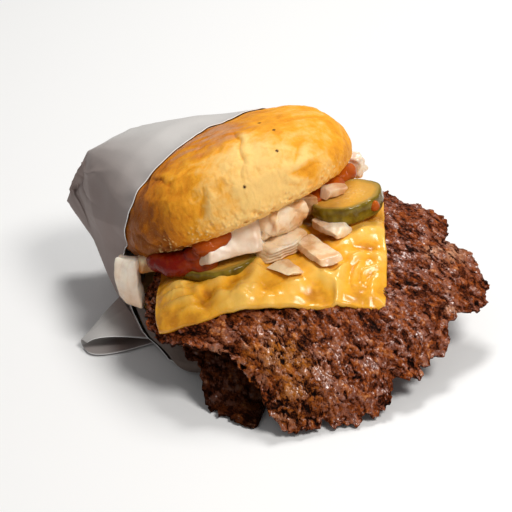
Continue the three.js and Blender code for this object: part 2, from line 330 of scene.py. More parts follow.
def finish_piece(piece: Object, material: Material, replaces: Sequence[str] = ()) -> Object:
    """Gives a piece its finish and ties it to the part.

    Args:
        piece: The object.
        material: Its finish.
        replaces: Nodes of the part that the piece stands for.

    Returns:
        The same object.
    """
    piece.data.materials.clear()
    piece.data.materials.append(material)
    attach(piece, BODY)
    if replaces:
        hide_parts(*replaces)
    log.info("%s: %d faces", piece.name, len(piece.data.polygons))
    return piece


@dataclass(frozen=True)
class Slab:
    """Closed body: a square net over the top, bands round its side and rings under it."""

    net: int
    bands: Sequence[Pair]
    round: bool = True

    def build(self) -> tuple[Array, Array, Array, list[tuple[int, ...]]]:
        """Lays out the body before it is placed.

        Returns:
            Plan coordinates u and v inside the unit disc or square, level from 1 on top to -1
            below, and the faces.
        """
        n = self.net
        line = np.linspace(-1, 1, n + 1)
        x, y = each_pair(line, line)
        u, v = (self._to_disc(x, y) if self.round else (x, y))
        quads, edge = net(n, n)
        faces = [tuple(q) for q in quads.tolist()]
        count = len(edge)
        us, vs, levels = [u], [v], [np.ones_like(u)]
        ring, start = edge, len(u)
        for share, level in self.bands:
            new = start + np.arange(count)
            us.append(u[edge] * share)
            vs.append(v[edge] * share)
            levels.append(np.full(count, float(level)))
            faces += band(ring, new)
            ring, start = new, start + count
        us.append(np.zeros(1))
        vs.append(np.zeros(1))
        levels.append(np.array([float(self.bands[-1][1])]))
        faces += [(int(ring[k]), start, int(ring[(k + 1) % count])) for k in range(count)]
        return np.concatenate(us), np.concatenate(vs), np.concatenate(levels), faces

    @staticmethod
    def _to_disc(x: Array, y: Array) -> tuple[Array, Array]:
        """Bends a square evenly into a disc.

        Args:
            x: Places across, from -1 to 1.
            y: Places along, from -1 to 1.

        Returns:
            The places in the disc.
        """
        wide = np.abs(x) > np.abs(y)
        with np.errstate(divide="ignore", invalid="ignore"):
            a = np.where(wide, (math.pi / 4) * y / x, math.pi / 2 - (math.pi / 4) * x / y)
        a = np.nan_to_num(a)
        r = np.where(wide, x, y)
        return r * np.cos(a), r * np.sin(a)


# -------- how the layers lie
@dataclass(frozen=True)
class Bed:
    """Heights of the burger's layers over the plan, in millimetres."""

    gap: float = 0.8
    tail_turn: float = math.radians(135)
    heel_reach: float = 46.0
    heel_radius: float = 44.0
    heel_at: Pair = (4.0, 2.0)
    heel_mean: float = 20.0
    heel_squash: float = 6.0
    lower_thick: float = 5.5
    upper_thick: float = 6.0
    cheese_thick: float = 2.8

    def depth(self, x: Array, y: Array) -> Array:
        """Depth of a plan point into the pocket."""
        return x * math.cos(self.tail_turn) + y * math.sin(self.tail_turn)

    def heel_top(self, x: Array, y: Array) -> Array:
        """Top of the bottom bun, pressed thinner towards the closed end."""
        d = np.clip(self.depth(x, y), -self.heel_reach, self.heel_reach)
        return self.heel_mean - self.heel_squash * d / self.heel_reach

    def upper_sag(self, x: Array, y: Array) -> Array:
        """How far the upper patty hangs where nothing holds it up."""
        across = (x - 15) / np.where(x > 15, 1.4, 1.1)
        return np.maximum(0, np.hypot(across, y - 5) - 40) ** 2 / 100

    def lower_sag(self, x: Array, y: Array) -> Array:
        """How far the lower patty hangs over the rim of the bottom bun.

        Args:
            x: Places across.
            y: Places along.

        Returns:
            The drop at each place.
        """
        out = np.maximum(0, np.hypot(x, y) - 36)
        hang = np.where(out < 24, 1.25 * out * out / 48, 1.25 * (out - 12))
        return np.maximum(hang, self.upper_sag(x, y))

    def lower_top(self, x: Array, y: Array) -> Array:
        """Top of the lower patty."""
        free = self.heel_top(x, y) + self.gap + self.lower_thick - self.lower_sag(x, y)
        return np.maximum(free, 0.6 + 0.7 * self.lower_thick)

    def upper_top(self, x: Array, y: Array) -> Array:
        """Top of the upper patty."""
        rise = 2 * self.gap + self.lower_thick + self.upper_thick
        return np.maximum(self.heel_top(x, y) + rise - self.upper_sag(x, y), 2.6)

    def cheese_top(self, x: Array, y: Array) -> Array:
        """Top of the cheese before its folds."""
        return self.upper_top(x, y) + self.gap + self.cheese_thick

    def cheese_at(self, place: Pair) -> float:
        """Top of the cheese at one place."""
        return float(self.cheese_top(np.array(place[0]), np.array(place[1])))


BED = Bed()


# -------- shader helper
class Nodes:
    """Short way to write a node tree."""

    def __init__(self, tree: NodeTree) -> None:
        """Takes the tree to write in."""
        self.tree = tree

    def add(self, kind: str, sockets: Optional[dict[Any, Any]] = None, **settings: Any) -> Node:
        """Adds a node.

        Args:
            kind: Blender's name for the node.
            sockets: Input values or links by socket name or number.
            **settings: Properties of the node.

        Returns:
            The new node.
        """
        node = self.tree.nodes.new(kind)
        for key, value in settings.items():
            setattr(node, key, value)
        for key, value in (sockets or {}).items():
            self.feed(node.inputs[key], value)
        return node

    def feed(self, socket: Socket, value: Any) -> None:
        """Links or sets one input.

        Args:
            socket: The input.
            value: An output to link, or a plain value.
        """
        if isinstance(value, Socket):
            self.tree.links.new(value, socket)
        elif isinstance(value, (tuple, list)) and len(value) == 3 and socket.type == "RGBA":
            socket.default_value = (*value, 1.0)
        else:
            socket.default_value = value

    def math(self, operation: str, a: Any, b: Any = 0.0, clamp: bool = False) -> Socket:
        """Adds a sum."""
        return self.add("ShaderNodeMath", {0: a, 1: b}, operation=operation, use_clamp=clamp).outputs[0]

    def mix(self, share: Any, a: Any, b: Any) -> Socket:
        """Adds a colour mix."""
        return self.add("ShaderNodeMix", {0: share, 6: a, 7: b}, data_type="RGBA").outputs[2]

    def noise(self, place: Any, scale: Any, detail: float, rough: float = 0.5) -> Socket:
        """Adds cloudy noise."""
        sockets = {"Vector": place, "Scale": scale, "Detail": detail, "Roughness": rough}
        return self.add("ShaderNodeTexNoise", sockets).outputs["Fac"]

    def span(self, value: Any, low: float, high: float, to: tuple = (0, 1)) -> Socket:
        """Stretches a range of values onto another, eased and clamped."""
        sockets = {"Value": value, "From Min": low, "From Max": high, "To Min": to[0], "To Max": to[1]}
        return self.add("ShaderNodeMapRange", sockets, interpolation_type="SMOOTHSTEP").outputs[0]

    def ramp(self, value: Any, stops: Sequence[tuple[float, Colour]]) -> Socket:
        """Adds a colour ramp.

        Args:
            value: What the colour depends on.
            stops: Value and colour of each stop.

        Returns:
            The colour.
        """
        node = self.add("ShaderNodeValToRGB", {0: value})
        elements = node.color_ramp.elements
        while len(elements) < len(stops):
            elements.new(0.5)
        for element, (at, colour) in zip(elements, stops):
            element.position = at
            element.color = (*colour, 1.0)
        return node.outputs[0]

    def mark(self, name: str) -> Socket:
        """Reads a value stored on the points."""
        return self.add("ShaderNodeAttribute", attribute_name=name).outputs["Fac"]

    def place(self) -> Socket:
        """Place on the object, in metres."""
        return self.add("ShaderNodeTexCoord").outputs["Object"]


def new_group(
    name: str, inputs: Sequence[tuple[str, str, float]], outputs: Sequence[tuple[str, str]]
) -> tuple[NodeTree, Nodes, Node, Node]:
    """Starts a shader node group.

    Args:
        name: Name of the group.
        inputs: Name, socket type and default of each input.
        outputs: Name and socket type of each output.

    Returns:
        The group, its node helper, its input node and its output node.
    """
    group = bpy.data.node_groups.new(name, "ShaderNodeTree")
    for label, kind, default in inputs:
        socket = group.interface.new_socket(label, in_out="INPUT", socket_type=kind)
        if kind == "NodeSocketFloat":
            socket.default_value = default
    for label, kind in outputs:
        group.interface.new_socket(label, in_out="OUTPUT", socket_type=kind)
    nodes = Nodes(group)
    return group, nodes, nodes.add("NodeGroupInput"), nodes.add("NodeGroupOutput")


class Effects:
    """Node groups that several finishes share."""

    def __init__(self) -> None:
        """Makes the groups."""
        self.grain = self._grain()
        self.grease = self._grease()

    @staticmethod
    def _grain() -> NodeTree:
        """Fine and coarse unevenness with a bump from both.

        Returns:
            The group.
        """
        group, n, into, out = new_group(
            "food grain",
            [("Place", "NodeSocketVector", 0), ("Scale", "NodeSocketFloat", 300),
             ("Depth", "NodeSocketFloat", 0.0003)],
            [("Fine", "NodeSocketFloat"), ("Coarse", "NodeSocketFloat"), ("Normal", "NodeSocketVector")],
        )
        place, scale = into.outputs["Place"], into.outputs["Scale"]
        warp = n.add("ShaderNodeTexNoise", {"Vector": place, "Scale": scale, "Detail": 2.0}).outputs["Color"]
        reach = (0.0015, 0.0015, 0.0015)
        shift = n.add("ShaderNodeVectorMath", {0: warp, 1: reach}, operation="MULTIPLY").outputs[0]
        moved = n.add("ShaderNodeVectorMath", {0: place, 1: shift}, operation="ADD").outputs[0]
        coarse = n.noise(moved, scale, 4.0, 0.6)
        fine = n.noise(moved, n.math("MULTIPLY", scale, 5.0), 5.0, 0.65)
        height = n.math("ADD", coarse, n.math("MULTIPLY", fine, 0.35))
        relief = {"Height": height, "Distance": into.outputs["Depth"], "Strength": 1.0}
        normal = n.add("ShaderNodeBump", relief).outputs[0]
        for key, value in (("Fine", fine), ("Coarse", coarse), ("Normal", normal)):
            n.feed(out.inputs[key], value)
        return group

    @staticmethod
    def _grease() -> NodeTree:
        """Roughness of a patchy wet film.

        Returns:
            The group.
        """
        group, n, into, out = new_group(
            "wet film",
            [
                ("Place", "NodeSocketVector", 0),
                ("Scale", "NodeSocketFloat", 120),
                ("Wet", "NodeSocketFloat", 0.5),
                ("Dry Roughness", "NodeSocketFloat", 0.55),
                ("Wet Roughness", "NodeSocketFloat", 0.15),
            ],
            [("Roughness", "NodeSocketFloat")],
        )
        noise = n.noise(into.outputs["Place"], into.outputs["Scale"], 6.0, 0.7)
        level = n.math("SUBTRACT", 1.0, into.outputs["Wet"])
        mask = n.math("MULTIPLY", n.math("SUBTRACT", noise, n.math("MULTIPLY", level, 0.7)), 5.0, clamp=True)
        drop = n.math("SUBTRACT", into.outputs["Dry Roughness"], into.outputs["Wet Roughness"])
        rough = n.math("SUBTRACT", into.outputs["Dry Roughness"], n.math("MULTIPLY", mask, drop))
        n.feed(out.inputs["Roughness"], rough)
        return group

    def use_grain(self, n: Nodes, place: Any, scale: float, depth: Any) -> Node:
        """Puts the grain group into a finish."""
        sockets = {"Place": place, "Scale": scale, "Depth": depth}
        return n.add("ShaderNodeGroup", sockets, node_tree=self.grain)

    def use_grease(
        self, n: Nodes, place: Any, scale: float, wet: float, dry_rough: float, wet_rough: float
    ) -> Socket:
        """Puts the wet film group into a finish.

        Args:
            n: Node helper of the finish.
            place: Place on the object.
            scale: Scale of the wet patches.
            wet: Share of the surface that is wet.
            dry_rough: Roughness where it is dry.
            wet_rough: Roughness where it is wet.

        Returns:
            The roughness.
        """
        sockets = {"Place": place, "Scale": scale, "Wet": wet}
        sockets |= {"Dry Roughness": dry_rough, "Wet Roughness": wet_rough}
        return n.add("ShaderNodeGroup", sockets, node_tree=self.grease).outputs["Roughness"]


def new_material(name: str) -> tuple[Material, Nodes, Node]:
    """Starts a material.

    Args:
        name: Name of the material.

    Returns:
        The material, its node helper and its surface shader.
    """
    material = bpy.data.materials.new(name)
    material.use_nodes = True
    material.node_tree.nodes.clear()
    n = Nodes(material.node_tree)
    shader = n.add("ShaderNodeBsdfPrincipled")
    n.add("ShaderNodeOutputMaterial", {"Surface": shader.outputs[0]})
    return material, n, shader


def set_surface(
    n: Nodes, shader: Node, colour: Any, roughness: Any, shine: Any, relief: Optional[Node] = None
) -> None:
    """Gives a surface shader what it needs of every finish.

    Args:
        n: Node helper of the finish.
        shader: The surface shader.
        colour: Base colour.
        roughness: Roughness.
        shine: Specular level.
        relief: Node that gives its normal, if it has one.
    """
    n.feed(shader.inputs["Base Color"], colour)
    n.feed(shader.inputs["Roughness"], roughness)
    n.feed(shader.inputs["Specular IOR Level"], shine)
    if relief is not None:
        n.feed(shader.inputs["Normal"], relief.outputs["Normal"])


def let_light_in(shader: Node, weight: float, reach: Colour, scale: float) -> None:
    """Makes a surface a little see-through.

    Args:
        shader: The surface shader.
        weight: How much of the light goes in.
        reach: How far red, green and blue go, against each other.
        scale: How far they go, in metres.
    """
    shader.inputs["Subsurface Weight"].default_value = weight
    shader.inputs["Subsurface Radius"].default_value = reach
    shader.inputs["Subsurface Scale"].default_value = scale


# -------- finishes
class Finish:
    """A material of the burger, painted by the class that describes it."""

    name: str

    def build(self, effects: Effects) -> Material:
        """Makes the material.

        Args:
            effects: Node groups that the finishes share.

        Returns:
            The material.
        """
        material, n, shader = new_material(self.name)
        self.paint(n, shader, n.place(), effects)
        return material

    def paint(self, n: Nodes, shader: Node, place: Socket, effects: Effects) -> None:
        """Paints the surface.

        Args:
            n: Node helper of the material.
            shader: The surface shader.
            place: Place on the object.
            effects: Node groups that the finishes share.
        """
        raise NotImplementedError


@dataclass(frozen=True)
class PaperFinish(Finish):
    """Plain greaseproof paper with grease soaked into it near the food, with painted shade on its left side
    and inside the mouth, and a painted highlight along its cut edge.
    """

    name: str = "greaseproof paper"
    clean: Colour = (0.58, 0.56, 0.54)
    dim: Colour = (0.275, 0.207, 0.188)
    greasy: Colour = (0.085, 0.058, 0.045)

    def paint(self, n: Nodes, shader: Node, place: Socket, effects: Effects) -> None:
        """See Finish."""
        grain = effects.use_grain(n, place, 420.0, 0.00005)
        mottle = n.noise(place, 45.0, 4.0)
        # Painted shade: where the shade mark is set, the paper is mixed towards a darker, warmer grey.
        base = n.mix(n.mark("shade"), self.clean, self.dim)
        base = n.mix(n.span(mottle, 0.3, 0.7, (0, 0.10)), base, (0.34, 0.31, 0.30))
        base = n.mix(n.span(grain.outputs["Fine"], 0.4, 0.75, (0, 0.10)), base, (0.30, 0.28, 0.27))
        # The grease mark carries grease and painted shade together: near the mouth and inside, the paper
        # turns dark brown-grey.
        soaked = n.math("MULTIPLY", n.mark("grease"), n.span(mottle, 0.2, 0.6, (0.85, 1.0)), clamp=True)
        colour = n.mix(soaked, base, self.greasy)
        # Painted highlight: the cut edge is mixed towards near white.
        colour = n.mix(n.mark("cut"), colour, (0.95, 0.95, 0.94))
        set_surface(n, shader, colour, 0.6, 0.2, grain)


@dataclass(frozen=True)
class BreadFinish(Finish):
    """Soft golden bun: glazed brown where it baked most and creamy where it tore; its colour also holds
    painted shade on the side against the paper and in its hollows, a paler patch of painted light at the
    front and a painted sheen along the glaze streaks.
    """

    name: str = "golden bun"
    cream: Colour = (0.95, 0.60, 0.20)
    golden: Colour = (0.88, 0.37, 0.024)
    amber: Colour = (0.60, 0.185, 0.008)
    brown: Colour = (0.25, 0.058, 0.003)
    glaze: Colour = (0.56, 0.28, 0.14)
    crumb: Colour = (0.95, 0.66, 0.28)

    def paint(self, n: Nodes, shader: Node, place: Socket, effects: Effects) -> None:
        """See Finish."""
        grain = effects.use_grain(n, place, 700.0, 0.00013)
        pull = {"Vector": place, "Rotation": (0, 0, -0.7), "Scale": (0.8, 2.4, 1.6)}
        drawn = n.add("ShaderNodeMapping", pull).outputs[0]
        patches = n.noise(place, 42.0, 6.0, 0.6)
        veins = n.noise(drawn, 80.0, 5.0, 0.6)
        mottle = n.noise(place, 190.0, 6.0, 0.68)
        bake = n.mark("bake")
        for noise, weight in ((patches, 0.55), (veins, 0.40), (mottle, 0.60)):
            bake = n.math("ADD", bake, n.math("MULTIPLY", n.math("SUBTRACT", noise, 0.5), weight))
        browning = [(0.06, self.cream), (0.36, self.golden), (0.70, self.amber), (1.0, self.brown)]
        colour = n.ramp(bake, browning)
        # Painted sheen: along the glaze streaks the colour is mixed towards a pale mauve; the higher specular
        # there is real gloss.
        streak = n.math("MULTIPLY", n.mark("glaze"), n.span(veins, 0.42, 0.60))
        colour = n.mix(n.math("MULTIPLY", streak, 0.7), colour, self.glaze)
        colour = n.mix(n.span(grain.outputs["Fine"], 0.5, 0.8, (0, 0.45)), colour, (1.0, 0.58, 0.13))
        colour = n.mix(n.span(grain.outputs["Fine"], 0.45, 0.2, (0, 0.45)), colour, (0.42, 0.12, 0.006))
        colour = n.mix(n.mark("crumb"), colour, self.crumb)
        colour = n.mix(n.mark("speck"), colour, (0.04, 0.012, 0.004))
        film = effects.use_grease(n, place, 60.0, 0.4, 0.62, 0.45)
        shine = n.math("ADD", n.math("MULTIPLY", streak, 0.6), 0.07)
        set_surface(n, shader, colour, film, shine, grain)
        let_light_in(shader, 0.12, (1.0, 0.5, 0.2), 0.002)


@dataclass(frozen=True)
class PattyFinish(Finish):
    """Crust of smashed beef with glossy plates and wet grains; its colour holds painted shade, near black in
    the pits and hollows, and painted glints on the highest grains.
    """

    name: str = "beef crust"
    pit: Colour = (0.004, 0.001, 0.0005)
    meat: Colour = (0.050, 0.0095, 0.0028)
    crust: Colour = (0.175, 0.034, 0.0065)
    crest: Colour = (0.34, 0.080, 0.015)
    glint: Colour = (0.75, 0.32, 0.11)
    plate: Colour = (0.25, 0.088, 0.056)
    fat: Colour = (0.48, 0.17, 0.012)
    raw: Colour = (0.56, 0.27, 0.15)

    def paint(self, n: Nodes, shader: Node, place: Socket, effects: Effects) -> None:
        """See Finish."""
        comb = {"Vector": place, "Rotation": (0, 0, GRAIN_WAY), "Scale": (2.2, 1.0, 1.0)}
        combed = n.add("ShaderNodeMapping", comb, vector_type="TEXTURE").outputs[0]
        depth = n.math("SUBTRACT", 0.00042, n.math("MULTIPLY", n.mark("plate"), 0.00028))
        grain = effects.use_grain(n, combed, 520.0, depth)
        lump = n.add("ShaderNodeTexVoronoi", {"Vector": combed, "Scale": 1000.0}).outputs["Distance"]
        rise = n.math("MULTIPLY", n.math("SUBTRACT", grain.outputs["Coarse"], 0.5), 0.8)
        rise = n.math("ADD", rise, n.math("MULTIPLY", n.math("SUBTRACT", grain.outputs["Fine"], 0.5), 1.0))
        crest = n.math("ADD", n.mark("crest"), rise)
        crest = n.math("SUBTRACT", crest, n.math("MULTIPLY", lump, 0.20), clamp=True)
        # The crest mark paints light and shade: near black in pits and hollows, lighter on the crests and
        # painted glints on the highest grains.
        colours = (self.pit, self.meat, self.crust, self.crest, self.glint)
        colour = n.ramp(crest, list(zip((0.10, 0.25, 0.43, 0.66, 0.92), colours)))
        spots = n.noise(combed, 950.0, 4.0)
        high = n.span(crest, 0.28, 0.50)
        gloss = n.math("MULTIPLY", n.span(spots, 0.49, 0.60), high)
        flat = n.math("MULTIPLY", n.math("MULTIPLY", n.mark("plate"), n.span(spots, 0.30, 0.46)), high)
        # Painted sheen: flat plates are mixed towards a pale mauve, besides their real gloss.
        colour = n.mix(n.math("MULTIPLY", flat, 0.5), colour, self.plate)
        for mark, start, end, tint in (("fat", 0.2, 0.6, self.fat), ("raw", 0.25, 0.5, self.raw)):
            share = n.math("MULTIPLY", n.mark(mark), n.span(crest, start, end), clamp=True)
            colour = n.mix(share, colour, tint)
        # Painted shadow: the lower patty, which the upper one shades, is darkened to near black and loses
        # most of its shine.
        colour = n.mix(n.mark("char"), colour, (0.010, 0.003, 0.0015))
        smooth = n.math("MULTIPLY", n.math("MAXIMUM", gloss, flat), 0.20)
        bare = n.math("SUBTRACT", 1.0, n.math("MULTIPLY", n.mark("char"), 0.95))
        wet = n.math("ADD", n.math("MULTIPLY", gloss, 0.75), n.math("MULTIPLY", flat, 0.5))
        shine = n.math("MULTIPLY", n.math("ADD", wet, 0.03), bare)
        relief = {"Height": lump, "Distance": 0.00025, "Strength": 0.6, "Normal": grain.outputs["Normal"]}
        bumpy = n.add("ShaderNodeBump", relief)
        set_surface(n, shader, colour, n.math("SUBTRACT", 0.42, smooth), shine, bumpy)


@dataclass(frozen=True)
class CheeseFinish(Finish):
    """Melted processed cheese: smooth, glossy and a little see-through."""

    name: str = "melted cheese"
    body: Colour = (0.92, 0.43, 0.024)
    deep: Colour = (0.56, 0.20, 0.005)
    pale: Colour = (0.95, 0.55, 0.10)

    def paint(self, n: Nodes, shader: Node, place: Socket, effects: Effects) -> None:
        """See Finish."""
        grain = effects.use_grain(n, place, 170.0, 0.00010)
        film = effects.use_grease(n, place, 70.0, 0.6, 0.38, 0.26)
        sway = n.span(grain.outputs["Coarse"], 0.3, 0.7, (-0.12, 0.12))
        crest = n.math("ADD", n.mark("crest"), sway, clamp=True)
        # Painted light and shade: deeper orange in the valleys, pale yellow as painted highlight on the
        # crests.
        colour = n.ramp(crest, [(0.12, self.deep), (0.45, self.body), (0.9, self.pale)])
        colour = n.mix(n.mark("stain"), colour, (0.50, 0.23, 0.02))
        set_surface(n, shader, colour, film, 0.35, grain)
        let_light_in(shader, 0.15, (1.0, 0.5, 0.1), 0.0012)
        shader.inputs["Coat Weight"].default_value = 0.22
        shader.inputs["Coat Roughness"].default_value = 0.16


@dataclass(frozen=True)
class PickleFinish(Finish):
    """Pickled cucumber: tan wet flesh with paler seeds inside a dark olive rind."""

    name: str = "pickled cucumber"
    flesh: Colour = (0.66, 0.36, 0.048)
    middle: Colour = (0.74, 0.42, 0.07)
    heart: Colour = (0.84, 0.49, 0.12)
    rim: Colour = (0.40, 0.27, 0.055)
    rind: Colour = (0.18, 0.12, 0.006)

    def paint(self, n: Nodes, shader: Node, place: Socket, effects: Effects) -> None:
        """See Finish."""
        grain = effects.use_grain(n, place, 350.0, 0.00010)
        film = effects.use_grease(n, place, 90.0, 0.7, 0.40, 0.14)
        waver = n.math("MULTIPLY", n.math("SUBTRACT", grain.outputs["Coarse"], 0.5), 0.10)
        rings = [(0, self.heart), (0.5, self.middle), (0.8, self.flesh), (0.93, self.rim), (1, self.rind)]
        face = n.ramp(n.math("ADD", n.mark("share"), waver), rings)
        seed = n.add("ShaderNodeTexVoronoi", {"Vector": place, "Scale": 420.0}).outputs["Distance"]
        inside = n.span(n.mark("share"), 0.4, 0.75, (1, 0))
        dots = n.math("MULTIPLY", n.span(seed, 0.12, 0.34, (0.5, 0)), inside)
        face = n.mix(dots, face, (0.82, 0.60, 0.26))
        spots = n.noise(place, 190.0, 4.0)
        skin = n.ramp(spots, [(0.30, (0.12, 0.065, 0.006)), (0.48, self.rind), (0.70, (0.32, 0.23, 0.02))])
        set_surface(n, shader, n.mix(n.mark("rind"), face, skin), film, 0.3, grain)
        let_light_in(shader, 0.2, (1.0, 0.8, 0.2), 0.002)


@dataclass(frozen=True)
class OnionFinish(Finish):
    """Cut onion: milky and wet, pinkish in patches and along its layers, painted darker towards the bottom of
    each chunk as shade, with sauce soaked in here and there.
    """

    name: str = "cut onion"
    white: Colour = (0.93, 0.83, 0.70)
    blush: Colour = (0.62, 0.42, 0.28)
    stain: Colour = (0.66, 0.25, 0.035)
    cream: Colour = (0.90, 0.64, 0.34)

    def paint(self, n: Nodes, shader: Node, place: Socket, effects: Effects) -> None:
        """See Finish."""
        grain = effects.use_grain(n, place, 240.0, 0.00007)
        film = effects.use_grease(n, place, 150.0, 0.6, 0.42, 0.26)
        cloud = n.noise(place, 110.0, 4.0)
        # Painted shade: lower parts of each chunk are mixed towards the darker pinkish tone.
        low = n.math("MULTIPLY", n.mark("low"), 0.62)
        depth = n.math("ADD", low, n.span(cloud, 0.3, 0.75, (-0.25, 0.3)), clamp=True)
        colour = n.mix(depth, self.white, self.blush)
        wander = n.math("MULTIPLY", grain.outputs["Coarse"], 6.0)
        vein = n.math("SINE", n.math("ADD", n.math("MULTIPLY", n.mark("layer"), 9.0), wander))
        colour = n.mix(n.span(vein, 0.5, 1.0, (0, 0.14)), colour, self.blush)
        colour = n.mix(n.span(n.mark("stain"), 0.05, 0.5, (0, 0.7)), colour, self.cream)
        soaked = n.math("MULTIPLY", n.mark("stain"), n.span(cloud, 0.44, 0.62), clamp=True)
        set_surface(n, shader, n.mix(soaked, colour, self.stain), film, 0.4, grain)
        let_light_in(shader, 0.4, (1.0, 0.75, 0.5), 0.002)


@dataclass(frozen=True)
class KetchupFinish(Finish):
    """Thick ketchup: dark red where deep, orange-red where thin, very glossy."""

    name: str = "ketchup"
    deep: Colour = (0.175, 0.0055, 0.0004)
    thin: Colour = (0.56, 0.115, 0.006)

    def paint(self, n: Nodes, shader: Node, place: Socket, effects: Effects) -> None:
        """See Finish."""
        grain = effects.use_grain(n, place, 120.0, 0.0009)
        sway = n.span(grain.outputs["Coarse"], 0.4, 0.8, (-0.1, 0.2))
        thin = n.math("ADD", n.mark("thin"), sway, clamp=True)
        set_surface(n, shader, n.mix(thin, self.deep, self.thin), 0.08, 0.22, grain)
        let_light_in(shader, 0.05, (1.0, 0.12, 0.04), 0.0015)


class Finishes:
    """Every material of the burger."""

    def __init__(self) -> None:
        """Makes the materials."""
        effects = Effects()
        self.paper = PaperFinish().build(effects)
        self.bread = BreadFinish().build(effects)
        self.patty = PattyFinish().build(effects)
        self.cheese = CheeseFinish().build(effects)
        self.pickle = PickleFinish().build(effects)
        self.onion = OnionFinish().build(effects)
        self.ketchup = KetchupFinish().build(effects)


# -------- bun
class Shape:
    """One piece of the burger, modelled by the class that describes it."""

    def build(self) -> Object:
        """Makes the mesh.

        Returns:
            The piece, not dressed yet.
        """
        raise NotImplementedError

    def dress(self, material: Material, slot: str, replaces: Sequence[str] = ()) -> Object:
        """Makes the piece and dresses it.

        Args:
            material: Its finish.
            slot: Material slot of the record; not used.
            replaces: Nodes of the part that the piece stands for.

        Returns:
            The piece.
        """
        return finish_piece(self.build(), material, replaces)


@dataclass(frozen=True)
class Fold:
    """Soft fold from one place to another. In the cheese the places are plan places. In the bun's skin
    each is a turn in degrees and a share of the way from the top of the dome to its rim."""

    start: Pair
    end: Pair
    height: float
    width: float


